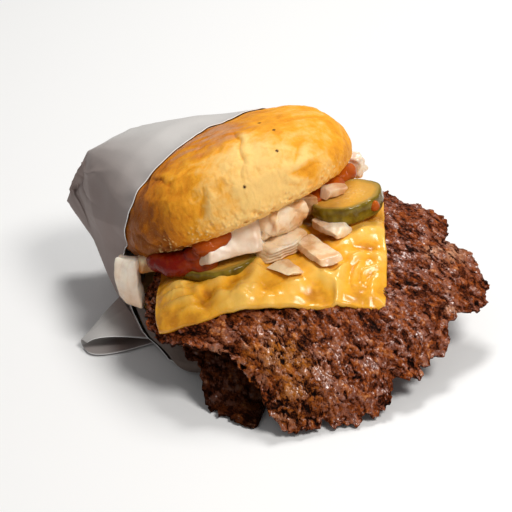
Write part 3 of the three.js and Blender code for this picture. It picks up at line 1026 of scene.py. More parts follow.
@dataclass
class Crown(Shape):
    """Top of the bun: a soft dome lying askew on the filling."""

    radius: float = 51.0
    height: float = 36.0
    front_turn: float = 282.0
    droop: float = 3.2
    droop_turn: float = 206.0
    plain: tuple[Array, Sequence] = field(init=False)
    centre: Triple = (11.0, 10.0, 43.0)
    up: Triple = (-0.25, 0.34, 0.905)
    creases: Sequence[Fold] = (
        Fold((294, 0.35), (288, 0.51), 0.55, 1.3), Fold((288, 0.51), (283, 0.65), 0.6, 1.5),
        Fold((283, 0.65), (279, 0.73), 0.45, 1.6), Fold((320, 0.66), (302, 0.77), 0.45, 2.0),
        Fold((262, 0.66), (255, 0.80), 0.5, 3.0), Fold((300, 0.80), (318, 0.84), 0.4, 1.8),
        Fold((296, 0.84), (303, 0.90), 0.4, 1.8), Fold((225, 0.50), (243, 0.60), 0.5, 2.0),
        Fold((243, 0.60), (262, 0.52), 0.4, 2.0), Fold((216, 0.80), (226, 0.92), 1.1, 2.4),
        Fold((207, 0.85), (219, 0.97), 1.0, 2.4), Fold((325, 0.50), (350, 0.66), 0.35, 3.0),
    )
    specks: Sequence[Pair] = ((312, 0.52), (301, 0.66), (279, 0.76), (318, 0.38))
    profile: Sequence[Pair] = (
        (0.0, 1.0), (0.2, 0.995), (0.42, 0.96), (0.65, 0.87), (0.82, 0.74), (0.93, 0.58),
        (0.985, 0.42), (1.0, 0.22), (0.95, 0.07), (0.86, 0.01),
    )

    def frame(self) -> Array:
        """Turn that lays the dome along its own up direction."""
        q = Vector((0, 0, 1)).rotation_difference(Vector(self.up).normalized())
        return np.array(q.to_matrix())

    def unrolled(self, share: Array, turn: Array) -> Array:
        """Place on the dome's skin laid out flat, in millimetres."""
        reach = share * self.radius * 1.25
        return stack(reach * np.cos(turn), reach * np.sin(turn), 0)

    def creased(self, share: Array, turn: Array, local: Array, grain: Grain) -> Array:
        """Folds in the skin.

        Args:
            share: How far from the top of the dome to its rim, from 0 to 1.
            turn: Turns in radians.
            local: Points of the dome before it is laid down.
            grain: Unevenness of the piece.

        Returns:
            The depth at each point.
        """
        q = self.unrolled(share, turn) + 1.5 * grain.drift(local, 7, (0, 31, None))
        total = np.zeros_like(share)
        for c in self.creases:
            ends = self.unrolled(np.array([c.start[1], c.end[1]]), np.radians([c.start[0], c.end[0]]))
            off, along = near_line(q, tuple(ends[0, :2]), tuple(ends[1, :2]))
            fade = np.sin(np.pi * np.clip(along, 0.03, 0.97)) ** 0.5
            line = -np.exp(-np.abs(off) / (0.32 * c.width)) + 0.7 * bump(off, 1.1 * c.width, c.width)
            total += 1.4 * c.height * fade * line
        return total

    def build(self) -> Object:
        """See Shape."""
        bands = [(1.0, -0.3), (0.985, -0.6), (0.95, -0.8), (0.88, -1), (0.75, -1), (0.55, -1), (0.3, -1)]
        u, v, level, faces = Slab(net=330, bands=bands).build()
        share, turn = np.hypot(u, v), np.arctan2(v, u)
        shares, heights = np.array(self.profile).T
        lengths = np.hypot(np.diff(shares) * self.radius, np.diff(heights) * self.height)
        run = np.concatenate([[0], np.cumsum(lengths)])
        run /= run[-1]
        fine = np.linspace(0, 1, 200)
        soft = np.ones(9) / 9
        ends: dict[str, Any] = {"pad_width": 4, "mode": "reflect", "reflect_type": "odd"}
        r_of, h_of = (
            np.convolve(np.pad(np.interp(fine, run, stops), **ends), soft, "valid")
            for stops in (shares, heights)
        )
        top = level == 1
        r = np.where(top, np.interp(share, fine, r_of), 0.86 * share)
        h = np.where(top, np.interp(share, fine, h_of), 0.01)
        local = stack(self.radius * r * np.cos(turn), self.radius * r * np.sin(turn), self.height * h)
        grain = Grain(11)
        out = unit(local - np.array([0, 0, 0.25 * self.height]))
        front = ease(80, 40, np.abs(turn_gap(turn, self.front_turn)))
        lump = 0.9 * grain.layered(local, 34, 2) + 0.55 * grain.layered(local + 40, 12, 2)
        inner, outer, facet, _ = grain.cells(local + 2.5 * grain.drift(local, 9, (0, 9, None)), 13.0)
        lump += 0.7 * (facet - 0.5) * ease(0.0, 0.35, outer - inner) * ease(0.3, 0.6, share)
        skin = np.abs(grain.layered(local * np.array([1, 1, 0.6]) + 7, 6.0, 3))
        wrinkle = -0.12 * (1 - ease(0, 0.2, skin)) * ease(0.35, 0.8, share)
        drawn = stack(0.45 * (local[:, 0] + local[:, 1]), local[:, 0] - local[:, 1], local[:, 2])
        drape = grain.layered(drawn + 55, 8.0, 3, 0.6)
        wrinkle += 0.40 * (0.4 - np.abs(drape))
        creased = self.creased(share, turn, local, grain)
        low = ease(0.80, 0.93, share) * front
        near, _, tag, _ = grain.cells(local, 3.6)
        near2, _, tag2, _ = grain.cells(local + 11, 1.7)
        torn = low * ease(0.15, 0.5, 0.5 + 0.5 * grain.smooth(local + 5, 11))
        pits = -1.3 * torn * (tag > 0.5) * (1 - ease(0.15, 0.45, near))
        bits = 0.55 * (tag2 > 0.45) * (1 - ease(0.1, 0.5, near2))
        crumbly = torn * (bits + 0.35 * grain.layered(local, 1.6, 2))
        ragged = 0.9 * ease(0.95, 1.0, share) * front * grain.layered(local + 80, 4.0, 3)
        relief = lump + wrinkle + creased + pits + crumbly + ragged
        push = np.where(top, relief, 0.25 * grain.layered(local, 3, 2))
        self.plain = (local + out * (lump * top)[:, None]) @ self.frame().T + np.array(self.centre), faces
        local = local + out * push[:, None]
        world = local @ self.frame().T + np.array(self.centre)
        world[:, 2] -= self.droop * bump(turn_gap(turn, self.droop_turn), 0, 15) * ease(0.62, 0.95, share)
        bed = BED.cheese_top(world[:, 0], world[:, 1]) + 0.9
        world[:, 2] = np.maximum(world[:, 2], bed)
        wide = np.degrees(turn) % 360
        # Painted shade: the side against the paper, turned away from the lamps, is made darker.
        paper_side = np.where(wide > 90, ease(262, 212, wide), ease(10, 90, wide))
        # darkness drives the colour from cream to brown: real browning on top of the dome, with painted light
        # and shade added below.
        bake = 0.38 + 0.44 * paper_side * ease(0.15, 0.5, share) + 0.20 * bump(share, 0.0, 0.35)
        # Painted light: a paler patch on the front of the dome, where the lamps fall.
        bake -= 0.52 * bump(turn_gap(turn, 284), 0, 19) * ease(0.36, 0.60, share)
        # Painted light and shade on the wrinkles: lighter along their ridges, darker between them.
        bake -= (0.12 + 0.22 * paper_side) * (0.25 - np.abs(drape)) * ease(0.2, 0.5, share)
        # Painted shade: darker still at the rim on the shaded side.
        bake += 0.22 * ease(0.9, 1.0, share) * paper_side
        # Lighter where torn; in the creases darker as painted shade, lighter on their raised sides; random
        # facet tone.
        bake -= 0.12 * torn + 0.35 * creased - 0.12 * (facet - 0.5)
        glaze = ease(0.50, 0.30, share) * ease(330, 290, wide) * (wide > 150)
        glaze = np.maximum(glaze, ease(238, 222, wide) * (wide > 150) * ease(0.3, 0.45, share) * 0.15)
        # Sauce soaked into the lower left rim, together with painted shade where the paper shades it.
        soak = 0.80 * bump(turn_gap(turn, 218), 0, 19) * ease(0.60, 0.92, share)
        speck = np.zeros_like(share)
        for at, far in self.specks:
            off = self.unrolled(share, turn) - self.unrolled(np.array([far]), np.radians([at]))[0]
            speck = np.maximum(speck, ease(0.75, 0.45, np.linalg.norm(off, axis=-1)))
        flake = np.clip(crumbly * 2.2, 0, 1) * (crumbly > 0.12)
        marks = {
            "bake": np.clip(bake + 0.12 * glaze + soak, 0, 1),
            "glaze": np.clip(glaze, 0, 1) * top,
            "speck": speck * top,
            "crumb": np.where(top, 0.8 * flake, ease(1.0, 0.86, share)),
        }
        return mesh_piece("bun_crown_look", world, faces, marks)


@dataclass
class Heel(Shape):
    """Bottom of the bun, pressed thinner towards the closed end of the paper."""

    foot: float = 1.2
    foot_rise: float = 0.12
    profile: Sequence[Pair] = (
        (0.82, -1), (0.93, -0.78), (0.99, -0.25), (1, 0.45), (0.96, 0.9), (0.88, 1),
    )

    def build(self) -> Object:
        """See Shape."""
        bands = [(1, 0.6), (1, 0.3), (1, 0), (1, -0.3), (0.99, -0.6), (0.96, -0.85), (0.9, -1), (0.6, -1)]
        u, v, level, faces = Slab(net=90, bands=bands).build()
        share, turn = np.hypot(u, v), np.arctan2(v, u)
        grain = Grain(23)
        r = (BED.heel_radius - 0.6) * share * (1 - 0.045 * (level * level) * ease(0.9, 1, share))
        x, y = BED.heel_at[0] + r * np.cos(turn), BED.heel_at[1] + r * np.sin(turn)
        top = BED.heel_top(x, y) - BED.lower_sag(x, y)
        base = self.foot + self.foot_rise * np.maximum(0, BED.depth(x, y) - 28)
        z = base + (top - base) * (level + 1) / 2
        p = stack(x, y, z)
        puff = 0.5 * grain.layered(p, 16, 3) * ease(0.8, 1, share) * (level > -1)
        p += stack(np.cos(turn), np.sin(turn), 0) * puff[:, None]
        p[:, 2] += np.where(level == 1, 0.35 * grain.layered(p, 5, 3), 0) - 0.2 * (level == 1)
        marks = {"bake": 0.25 + 0.35 * ease(0.5, -1, level), "crumb": np.where(level == 1, 0.9, 0.0)}
        return mesh_piece("bun_heel_look", p, faces, marks)


# -------- patties
@dataclass
class Patty(Shape):
    """Smashed beef patty: thin, wide and craggy, with a torn lacy edge."""

    name: str
    centre: Pair
    radius: float
    thick: float
    edge: Sequence[Triple]
    top: Callable[[Array, Array], Array]
    net: int
    seed: int
    fat_at: Triple = (16.0, -76.0, 13.0)
    raw_at: Sequence[Triple] = ()
    # How far the patty is painted in shadow, from 0 to 1.
    char: float = 0.0
    gap: Triple = (0.0, 0.0, 0.0)

    def outline(self, turn: Array) -> Array:
        """Outline without its fine tears.

        Args:
            turn: Turns in radians.

        Returns:
            The radius at each turn.
        """
        r = np.full_like(turn, self.radius)
        for at, bulge, width in self.edge:
            r += bulge * bump(turn_gap(turn, at), 0, width)
        start, end, depth = self.gap
        t = np.degrees(turn)
        return r - depth * ease(start - 1.2, start + 1.2, t) * (1 - ease(end - 8, end + 8, t))

    def tears(self, turn: Array, grain: Grain) -> Array:
        """Fine raggedness of the outline: hooks, nicks and gaps.

        Args:
            turn: Turns in radians.
            grain: Unevenness of the piece.

        Returns:
            What to add to the radius at each turn.
        """
        ring = self.radius * stack(np.cos(turn), np.sin(turn), 0.0)
        rag = 1.1 * grain.smooth(ring, 12) + 1.0 * grain.smooth(ring + 50, 5) - 0.3
        rag += 2.2 * (0.28 - np.abs(grain.smooth(ring + 90, 4.2)))
        rag += 1.2 * (0.28 - np.abs(grain.smooth(ring + 130, 1.9)))
        near, _, tag, _ = grain.cells(ring + 20, 8.5)
        return rag - 4.6 * (tag > 0.62) * (1 - ease(0.05, 0.22, near))

    @staticmethod
    def lumps(p: Array, size: float, gap: float, grain: Grain) -> tuple[Array, Array, Array]:
        """Grains of meat, each lying askew.

        Args:
            p: Points.
            size: Size of the grains in millimetres.
            gap: Width of the rifts between them, in grain sizes.
            grain: Unevenness of the patty.

        Returns:
            Random value of each point's grain, height of its slant, and how deep in a rift it is.
        """
        near, second, tag, way = grain.cells(p, size)
        tilt = (tag * 37 % 1 - 0.5) * way[:, 0] + (tag * 91 % 1 - 0.5) * way[:, 1]
        return tag, tilt, 1 - ease(0.0, gap, second - near)

    def crust(self, q: Array, grain: Grain) -> tuple[Array, Array, Array]:
        """Shape of the cooked face.

        Args:
            q: Points of the middle of the patty.
            grain: Unevenness of the patty.

        Returns:
            Height of the face, how much each point lies on a flat piece of crust that gets a painted sheen,
            and its broad swells.
        """
        warp = q + 0.9 * grain.drift(q, 4.5, (0, 17, 29))
        lean = GRAIN_WAY + 0.25 * grain.smooth(q + 400, 45)
        c, s = np.cos(lean), np.sin(lean)
        rel_x, rel_y = warp[:, 0] - self.centre[0], warp[:, 1] - self.centre[1]
        along = rel_x * c + rel_y * s
        across = rel_y * c - rel_x * s
        combed = stack(0.42 * along, across, warp[:, 2])
        tag, tilt, rift = self.lumps(combed, 3.4, 0.10, grain)
        tag2, tilt2, rift2 = self.lumps(combed + 9, 1.8, 0.14, grain)
        thread = stack(0.2 * along, across, warp[:, 2])
        fibre = 0.4 - np.abs(grain.smooth(thread + 61, 1.9))
        patch = ease(-0.25, 0.35, grain.smooth(q + 140, 17))
        slit = patch * ease(0.09, 0.0, np.abs(grain.smooth(thread + 33, 2.8)))
        near, _, tag3, _ = grain.cells(warp + 3, 8.5)
        pit = (tag3 > 0.72) * (1 - ease(0.05, 0.19, near))
        swell = 0.9 * grain.layered(q, 26, 2) + 0.4 * grain.smooth(q + 300, 9)
        relief = 0.5 * (tag - 0.5) + 2.0 * tilt - 0.40 * rift * (tag > 0.4)
        relief += 0.3 * (tag2 - 0.5) + 0.8 * tilt2 - 0.2 * rift2
        relief += 0.7 * fibre * (0.4 + 0.6 * patch) - slit - 1.5 * pit
        relief += 0.3 * grain.layered(q + 70, 1.6, 2, 0.6)
        plate = ease(0.42, 0.50, tag) * (1 - rift) * (1 - pit)
        return relief, plate * ease(0.2, 0.4, tag2 + 0.3 * grain.smooth(q, 5)), swell

    def build(self) -> Object:
        """See Shape."""
        bands = [(1, 0.5), (1, 0.15), (1, -0.3), (0.99, -0.8), (0.95, -1), (0.86, -1), (0.7, -1), (0.45, -1)]
        u, v, level, faces = Slab(net=self.net, bands=bands).build()
        share, turn = np.hypot(u, v), np.arctan2(v, u)
        grain = Grain(self.seed)
        r = share * self.outline(turn) + self.tears(turn, grain) * ease(0.84, 1, share)
        x, y = self.centre[0] + r * np.cos(turn), self.centre[1] + r * np.sin(turn)
        middle = self.top(x, y) - 0.5 * self.thick - 0.3
        step = 0.6
        up = unit(stack(
            (self.top(x - step, y) - self.top(x + step, y)) / (2 * step),
            (self.top(x, y - step) - self.top(x, y + step)) / (2 * step),
            1.0,
        ))
        q = stack(x, y, middle)
        relief, plate, swell = self.crust(q, grain)
        thin = self.thick * (1 - 0.62 * ease(0.82, 1.0, share))
        rim = ease(0.82, 1.0, share)
        curl = (2.0 * grain.smooth(q + 7, 15) + 1.2 * grain.smooth(q + 31, 6)) * rim**2
        face = ease(0.0, 1.0, level)
        under = 0.45 * grain.layered(q + 90, 3.0, 3) * (level < 0)
        p = q + up * (0.5 * thin * level + (0.62 * relief + swell) * face + curl + under)[:, None]
        jitter = grain.drift(p, 1.7, (3, 60, 120)) * np.array([1, 1, 0.6])
        p += jitter * (0.15 + 0.5 * rim)[:, None]
        p[:, 2] = np.maximum(p[:, 2], 0.3)
        tone = 0.10 * grain.smooth(q + 210, 14) + 0.07 * grain.smooth(q + 250, 5)
        # crest: height of the crust, which the finish turns into painted shade in the hollows and pits and
        # lighter crests; the underside is painted darker.
        crest = np.clip(0.52 + 0.34 * relief + tone, 0, 1)
        crest = np.where(level < 1, 0.35 + 0.2 * grain.smooth(p, 2.5), crest)
        soft = 0.5 + 0.5 * grain.layered(q + 30, 7, 3)
        fat = bump(np.hypot(x - self.fat_at[0], y - self.fat_at[1]), 0, self.fat_at[2]) * soft
        raw = np.zeros_like(x)
        for ax, ay, size in self.raw_at:
            raw = np.maximum(raw, bump(np.hypot(x - ax, y - ay), 0, size))
        marks = {
            "crest": crest,
            "plate": plate * (level == 1),
            "fat": fat,
            "raw": raw * ease(0.35, 0.6, soft),
            "char": np.full_like(x, self.char),
        }
        return mesh_piece(self.name, p, faces, marks)


class CrumbInput(Enum):
    """Inputs of the crumb scatter."""

    DENSITY = "Density"
    SIZE = "Size"
    SEED = "Seed"


@dataclass(frozen=True)
class Crumbs:
    """Small broken bits of crust strewn over a patty by a node tree, so many a square metre."""

    name: str
    density: float
    size: float
    seed: int

    def _tree(self, material: Material) -> NodeTree:
        """Builds the scatter.

        Args:
            material: Finish of the crumbs.

        Returns:
            The node tree.
        """
        tree = bpy.data.node_groups.new("crust crumbs", "GeometryNodeTree")
        kinds = {CrumbInput.DENSITY: "Float", CrumbInput.SIZE: "Float", CrumbInput.SEED: "Int"}
        tree.interface.new_socket("Geometry", in_out="INPUT", socket_type="NodeSocketGeometry")
        for key, kind in kinds.items():
            tree.interface.new_socket(key.value, in_out="INPUT", socket_type="NodeSocket" + kind)
        tree.interface.new_socket("Geometry", in_out="OUTPUT", socket_type="NodeSocketGeometry")
        n = Nodes(tree)
        into, out = n.add("NodeGroupInput"), n.add("NodeGroupOutput")
        seed = into.outputs[CrumbInput.SEED.value]
        crest = n.add("GeometryNodeInputNamedAttribute", {"Name": "crest"}, data_type="FLOAT").outputs[0]
        high = n.add("FunctionNodeCompare", {0: crest, 1: 0.42}, data_type="FLOAT", operation="GREATER_THAN")
        sockets = {"Mesh": into.outputs[0], "Selection": high.outputs[0], "Seed": seed,
                   "Density": into.outputs[CrumbInput.DENSITY.value]}
        spots = n.add("GeometryNodeDistributePointsOnFaces", sockets)
        bit = n.add("GeometryNodeMeshIcoSphere", {"Radius": 1.0, "Subdivisions": 2}).outputs[0]
        rough = n.add("ShaderNodeTexNoise", {"Scale": 1.1, "Detail": 2.0}).outputs["Color"]
        shift = n.add("ShaderNodeVectorMath", {0: rough, 1: (0.5, 0.5, 0.5)}, operation="SUBTRACT").outputs[0]
        push = n.add("ShaderNodeVectorMath", {0: shift, "Scale": 1.7}, operation="SCALE").outputs[0]
        lumpy = n.add("GeometryNodeSetPosition", {"Geometry": bit, "Offset": push}).outputs[0]
        size = into.outputs[CrumbInput.SIZE.value]
        spread = n.add("FunctionNodeRandomValue", {"Seed": seed}, data_type="FLOAT_VECTOR")
        n.feed(spread.inputs[0], (0.35, 0.35, 0.2))
        n.feed(spread.inputs[1], (1.35, 1.0, 0.7))
        sizes = n.add("ShaderNodeVectorMath", {0: spread.outputs[0], "Scale": size}, operation="SCALE")
        spin = n.add("FunctionNodeRandomValue", {"Seed": seed}, data_type="FLOAT")
        n.feed(spin.inputs[2], 0.0)
        n.feed(spin.inputs[3], FULL_TURN)
        turned = n.add(
            "FunctionNodeRotateEuler", {"Rotation": spots.outputs["Rotation"], "Angle": spin.outputs[1]},
            rotation_type="AXIS_ANGLE", space="LOCAL",
        ).outputs[0]
        strewn = n.add(
            "GeometryNodeInstanceOnPoints",
            {"Points": spots.outputs[0], "Instance": lumpy, "Rotation": turned,
             "Scale": sizes.outputs[0]},
        ).outputs[0]
        real = n.add("GeometryNodeRealizeInstances", {"Geometry": strewn}).outputs[0]
        dressed = n.add("GeometryNodeSetMaterial", {"Geometry": real, "Material": material}).outputs[0]
        n.feed(out.inputs[0], dressed)
        return tree

    def build(self, patty: Object, material: Material) -> Object:
        """Strews the crumbs over a patty.

        Args:
            patty: Patty to strew over.
            material: Finish of the crumbs.

        Returns:
            The crumbs as one plain mesh.
        """
        source = add_object(self.name + "_source", patty.data.copy())
        strew = source.modifiers.new("crumbs", "NODES")
        tree = self._tree(material)
        strew.node_group = tree
        values = {CrumbInput.DENSITY: self.density, CrumbInput.SIZE: self.size, CrumbInput.SEED: self.seed}
        for item in tree.interface.items_tree:
            for key, value in values.items():
                if item.item_type == "SOCKET" and item.name == key.value:
                    strew[item.identifier] = value
        depsgraph = bpy.context.evaluated_depsgraph_get()
        mesh = bpy.data.meshes.new_from_object(source.evaluated_get(depsgraph))
        old = source.data
        bpy.data.objects.remove(source)
        bpy.data.meshes.remove(old)
        mesh.name = self.name
        mesh.shade_smooth()
        return add_object(self.name, mesh)


# -------- cheese
@dataclass
class Cheese(Shape):
    """Square slice melted over the upper patty."""

    side: float = 91.6
    thick: float = 2.3
    turn: float = math.radians(-6.5)
    centre: Pair = (20.0, -10.0)
    folds: Sequence[Fold] = (
        Fold((15, -26), (9, -46), 2.8, 3.4), Fold((9, -46), (14, -52), 1.4, 3.4),
        Fold((-4, -32), (-3, -50), 2.0, 3.6), Fold((-24, -30), (-15, -33), 1.6, 2.0),
        Fold((-25, -36), (-16, -38), 1.6, 1.7), Fold((-24, -42), (-12, -44), 1.5, 1.9),
        Fold((-22, -48), (-12, -49), 1.2, 2.0), Fold((-15, -34), (-9, -46), 1.5, 1.9),
        Fold((20, -50), (30, -49), 1.5, 3.2), Fold((2, -50), (8, -53), 1.4, 2.8),
        Fold((40, -60), (43, -50), 2.0, 1.5), Fold((43, -50), (47, -42), 2.4, 1.6),
        Fold((47, -42), (55, -36), 2.0, 1.6), Fold((55, -36), (64, -38), 1.3, 1.8),
        Fold((48, -50), (53, -40), 1.5, 1.3), Fold((53, -56), (60, -47), 1.4, 1.8),
        Fold((53, -46), (62, -42), 1.2, 1.4), Fold((30, -46), (40, -44), 1.0, 3.4),
        Fold((54, -25), (60, -18), 1.0, 4.0),
    )

    def build(self) -> Object:
        """See Shape."""
        bands = [(1.004, 0.55), (1.006, 0), (1.003, -0.6), (0.995, -1), (0.97, -1), (0.8, -1), (0.4, -1)]
        u, v, level, faces = Slab(net=230, bands=bands, round=False).build()
        half = self.side / 2
        corner = 1 - 0.03 * np.abs(u) ** 7 * np.abs(v) ** 7
        a, b = u * half * corner, v * half * corner
        grain = Grain(41)
        flat = stack(a, b, 0)
        far_u, far_v = np.abs(u), np.abs(v)
        a = a + 0.8 * grain.smooth(flat + 5, 26) * far_u**3 + 0.25 * grain.smooth(flat, 7) * far_u**8
        b = b + 0.8 * grain.smooth(flat + 95, 26) * far_v**3 + 0.9 * grain.layered(flat + 9, 11, 2) * far_v**8
        x = self.centre[0] + a * math.cos(self.turn) - b * math.sin(self.turn)
        y = self.centre[1] + a * math.sin(self.turn) + b * math.cos(self.turn)
        p = stack(x, y, 0.0)
        bent = p + 1.2 * grain.drift(p, 9, (0, 33, None))
        relief = 2.1 * grain.layered(p, 15, 2) + 0.45 * grain.layered(p + 3, 6, 2)
        folded = np.zeros_like(x)
        for f in self.folds:
            off, along = near_line(bent, f.start, f.end)
            fade = 0.35 + 0.65 * np.sin(np.pi * np.clip(along, 0, 1))
            folded = np.maximum(folded, f.height * fade * bump(off, 0, f.width))
        skin = np.abs(grain.layered(bent + 11, 4.2, 2))
        zones = 0.6 * bump(np.hypot(x - 54, y + 46), 0, 11) + 0.8 * bump(np.hypot(x + 19, y + 36), 0, 9)
        wrinkle = 0.45 * zones * (0.4 - ease(0, 0.35, skin))
        edge = np.maximum(far_u, far_v)
        slump = -1.1 * ease(0.93, 1.0, edge) - 0.5 * ease(0.75, 1, edge)
        hang = 0.05 * np.maximum(0, x + y - 82) ** 2
        raised = relief + folded + wrinkle
        z = BED.cheese_top(x, y) - hang + raised + slump - 0.6 - 0.5 * self.thick * (1 - level)
        # crest: lighter on folds, swells and towards the right as painted light, darker in the valleys as
        # painted shade.
        crest = np.clip(0.36 + 0.24 * raised + 0.15 * ease(-5, 30, x), 0, 1)
        stain = 0.45 * bump(np.hypot(x + 24, y + 34), 0, 12) * ease(-0.2, 0.6, grain.smooth(p + 71, 6))
        marks = {"crest": crest, "stain": np.clip(stain, 0, 1)}
        return mesh_piece("cheese_look", stack(x, y, z), faces, marks)


# -------- pickles
@dataclass
class Pickle(Shape):
    """Slice of pickled cucumber lying on the cheese."""

    name: str
    centre: Pair
    radius: float
    thick: float
    seed: int
    tilt: Pair = (0.0, 0.0)
    lift: float = 0.0

    def build(self) -> Object:
        """See Shape."""
        bands = [
            (1.02, 0.8), (1.035, 0.45), (1.04, 0.1), (1.04, -0.3),
            (1.025, -0.7), (0.98, -1), (0.7, -1), (0.3, -1),
        ]
        u, v, level, faces = Slab(net=90, bands=bands).build()
        share, turn = np.hypot(u, v), np.arctan2(v, u)
        grain = Grain(self.seed)
        wobble = 1 + 0.03 * np.sin(3 * turn + self.centre[0]) + 0.012 * np.sin(7 * turn)
        r = self.radius * share * wobble
        dx, dy = r * np.cos(turn), r * np.sin(turn)
        x, y = self.centre[0] + dx, self.centre[1] + dy
        base = BED.cheese_at(self.centre)
        hug = 0.45 * (BED.cheese_top(x, y) - base)
        lie = base + 1.1 + self.lift + hug + self.tilt[0] * dx + self.tilt[1] * dy
        p = stack(x, y, lie + self.thick * (level + 1) / 2)
        near, _, _, _ = grain.cells(stack(x, y, 0), 2.0)
        seeds = 0.28 * (1 - ease(0, 0.5, near)) * ease(0.75, 0.35, share)
        dish = -0.35 * bump(share, 0.45, 0.3) + 0.22 * bump(share, 0.93, 0.06)
        p[:, 2] += np.where(level == 1, seeds + dish + 0.15 * grain.layered(p, 5, 2), 0)
        wart = 0.35 * grain.layered(p, 3.4, 2) + 0.4 * (1 - ease(0, 0.35, grain.cells(p, 5.0)[0]))
        side = ease(0.98, 1.02, share) * (level > -1)
        p += stack(np.cos(turn), np.sin(turn), 0) * (wart * side)[:, None]
        marks = {"share": np.clip(share, 0, 1), "rind": ease(0.985, 1.012, share)}
        return mesh_piece(self.name, p, faces, marks)


# -------- onion
@dataclass
class Chunk(Shape):
    """Chunk of cut onion: flat cut faces with crisp edges, bent like the layers it came from."""

    name: str
    at: Pair
    size: Triple
    turn: float = 0.0
    tip: float = 0.0
    roll: float = 0.0
    lift: float = 0.0
    bend: float = 0.16
    stain: float = 0.0
    seed: int = 1
    cuts: int = 3
    slant: float = 0.32
    sharp: int = 17
    lumps: float = 0.45
    fan: int = 0

    def _cut_faces(self, way: Array) -> Array:
        """Cut faces of a chunk two units wide.

        Args:
            way: Directions of length one.

        Returns:
            The distance of the cut faces that way.
        """
        rng = np.random.default_rng(self.seed)
        planes = []
        for axis in range(3):
            for side in (-1, 1):
                n = rng.uniform(-self.slant, self.slant, 3)
                n[axis] = side
                planes.append((n / np.linalg.norm(n), 1.0))
        for _ in range(self.cuts):
            n = rng.choice([-1.0, 1.0], 3) * rng.uniform(0.35, 1.0, 3)
            planes.append((n / np.linalg.norm(n), rng.uniform(1.12, 1.32)))
        total = sum(np.maximum(0, way @ n / h) ** self.sharp for n, h in planes)
        return total ** (-1 / self.sharp)

    def build(self) -> Object:
        """See Shape."""
        bm = bmesh.new()
        bmesh.ops.create_cube(bm, size=2.0)
        bmesh.ops.subdivide_edges(bm, edges=bm.edges[:], cuts=27, use_grid_fill=True)
        q = np.array([v.co[:] for v in bm.verts])
        faces = [[v.index for v in f.verts] for f in bm.faces]
        bm.free()
        grain = Grain(self.seed)
        q = unit(q)
        q *= self._cut_faces(q)[:, None]
        half = np.array(self.size) / 2
        p = q * half
        p[:, 1] += self.bend * self.size[1] * (1 - q[:, 0] ** 2)
        p[:, 2] += 0.06 * self.size[2] * (1 - q[:, 0] ** 2)
        p += self.lumps * grain.drift(p, 5, (0, 40, 80), 2)
        if self.fan:
            arcs = np.abs((q[:, 2] * 0.5 + 0.5) * self.fan % 1 - 0.5) * 2
            p[:, 1] += 0.75 * (1 - ease(0.0, 0.45, arcs)) * ease(-0.2, -0.8, q[:, 1])
        m = Matrix.Rotation(math.radians(self.turn), 3, "Z") @ Matrix.Rotation(math.radians(self.tip), 3, "Y")
        m = m @ Matrix.Rotation(math.radians(self.roll), 3, "X")
        p = p @ np.array(m).T
        p[:, 0] += self.at[0]
        p[:, 1] += self.at[1]
        p[:, 2] += BED.cheese_at(self.at) + BED.gap + 0.2 + self.lift - p[:, 2].min()
        low = (p[:, 2] - p[:, 2].min()) / max(float(np.ptp(p[:, 2])), 1e-6)
        marks = {
            "layer": q[:, 1] + 0.25 * q[:, 0] ** 2,
            "stain": np.clip(self.stain * (1.2 + grain.smooth(p, 7)) + 0.10 * (1 - low), 0, 1),
            # low: 1 at the bottom of the chunk, where the finish paints shade.
            "low": 1 - low,
        }
        return mesh_piece(self.name, p, faces, marks)


# -------- ketchup
@dataclass
class Sauce(Shape):
    """Thick sauce run together from rounded drops: each is a place, half sizes and a turn."""

    name: str
    drops: Sequence[tuple[Triple, Triple, float]]
    thin_at: Sequence[Triple] = ()
    seed: int = 5

    def build(self) -> Object:
        """See Shape."""
        bm = bmesh.new()
        for (x, y, lift), (a, b, c), turn in self.drops:
            spot = (x, y, BED.cheese_at((x, y)) + lift)
            place = Matrix.Translation(spot) @ Matrix.Rotation(math.radians(turn), 4, "Z")
            place = place @ Matrix.Diagonal((a, b, c, 1))
            bmesh.ops.create_icosphere(bm, subdivisions=4, radius=1.0, matrix=place)
        mesh = bpy.data.meshes.new(self.name)
        bm.to_mesh(mesh)
        bm.free()
        raw = add_object(self.name + "_raw", mesh)
        melt = raw.modifiers.new("melt", "REMESH")
        melt.mode = "VOXEL"
        melt.voxel_size = 0.4
        even = raw.modifiers.new("even", "SMOOTH")
        even.factor, even.iterations = 0.5, 14
        shown = bpy.data.meshes.new_from_object(raw.evaluated_get(bpy.context.evaluated_depsgraph_get()))
        p = np.array([v.co[:] for v in shown.vertices])
        faces = [list(f.vertices) for f in shown.polygons]
        bpy.data.objects.remove(raw)
        grain = Grain(self.seed)
        p += 0.5 * grain.drift(p, 6, (0, 20, 50), 2)
        thin = np.zeros(len(p))
        for x, y, size in self.thin_at:
            thin = np.maximum(thin, bump(np.hypot(p[:, 0] - x, p[:, 1] - y), 0, size))
        return mesh_piece(self.name, p, faces, {"thin": thin})


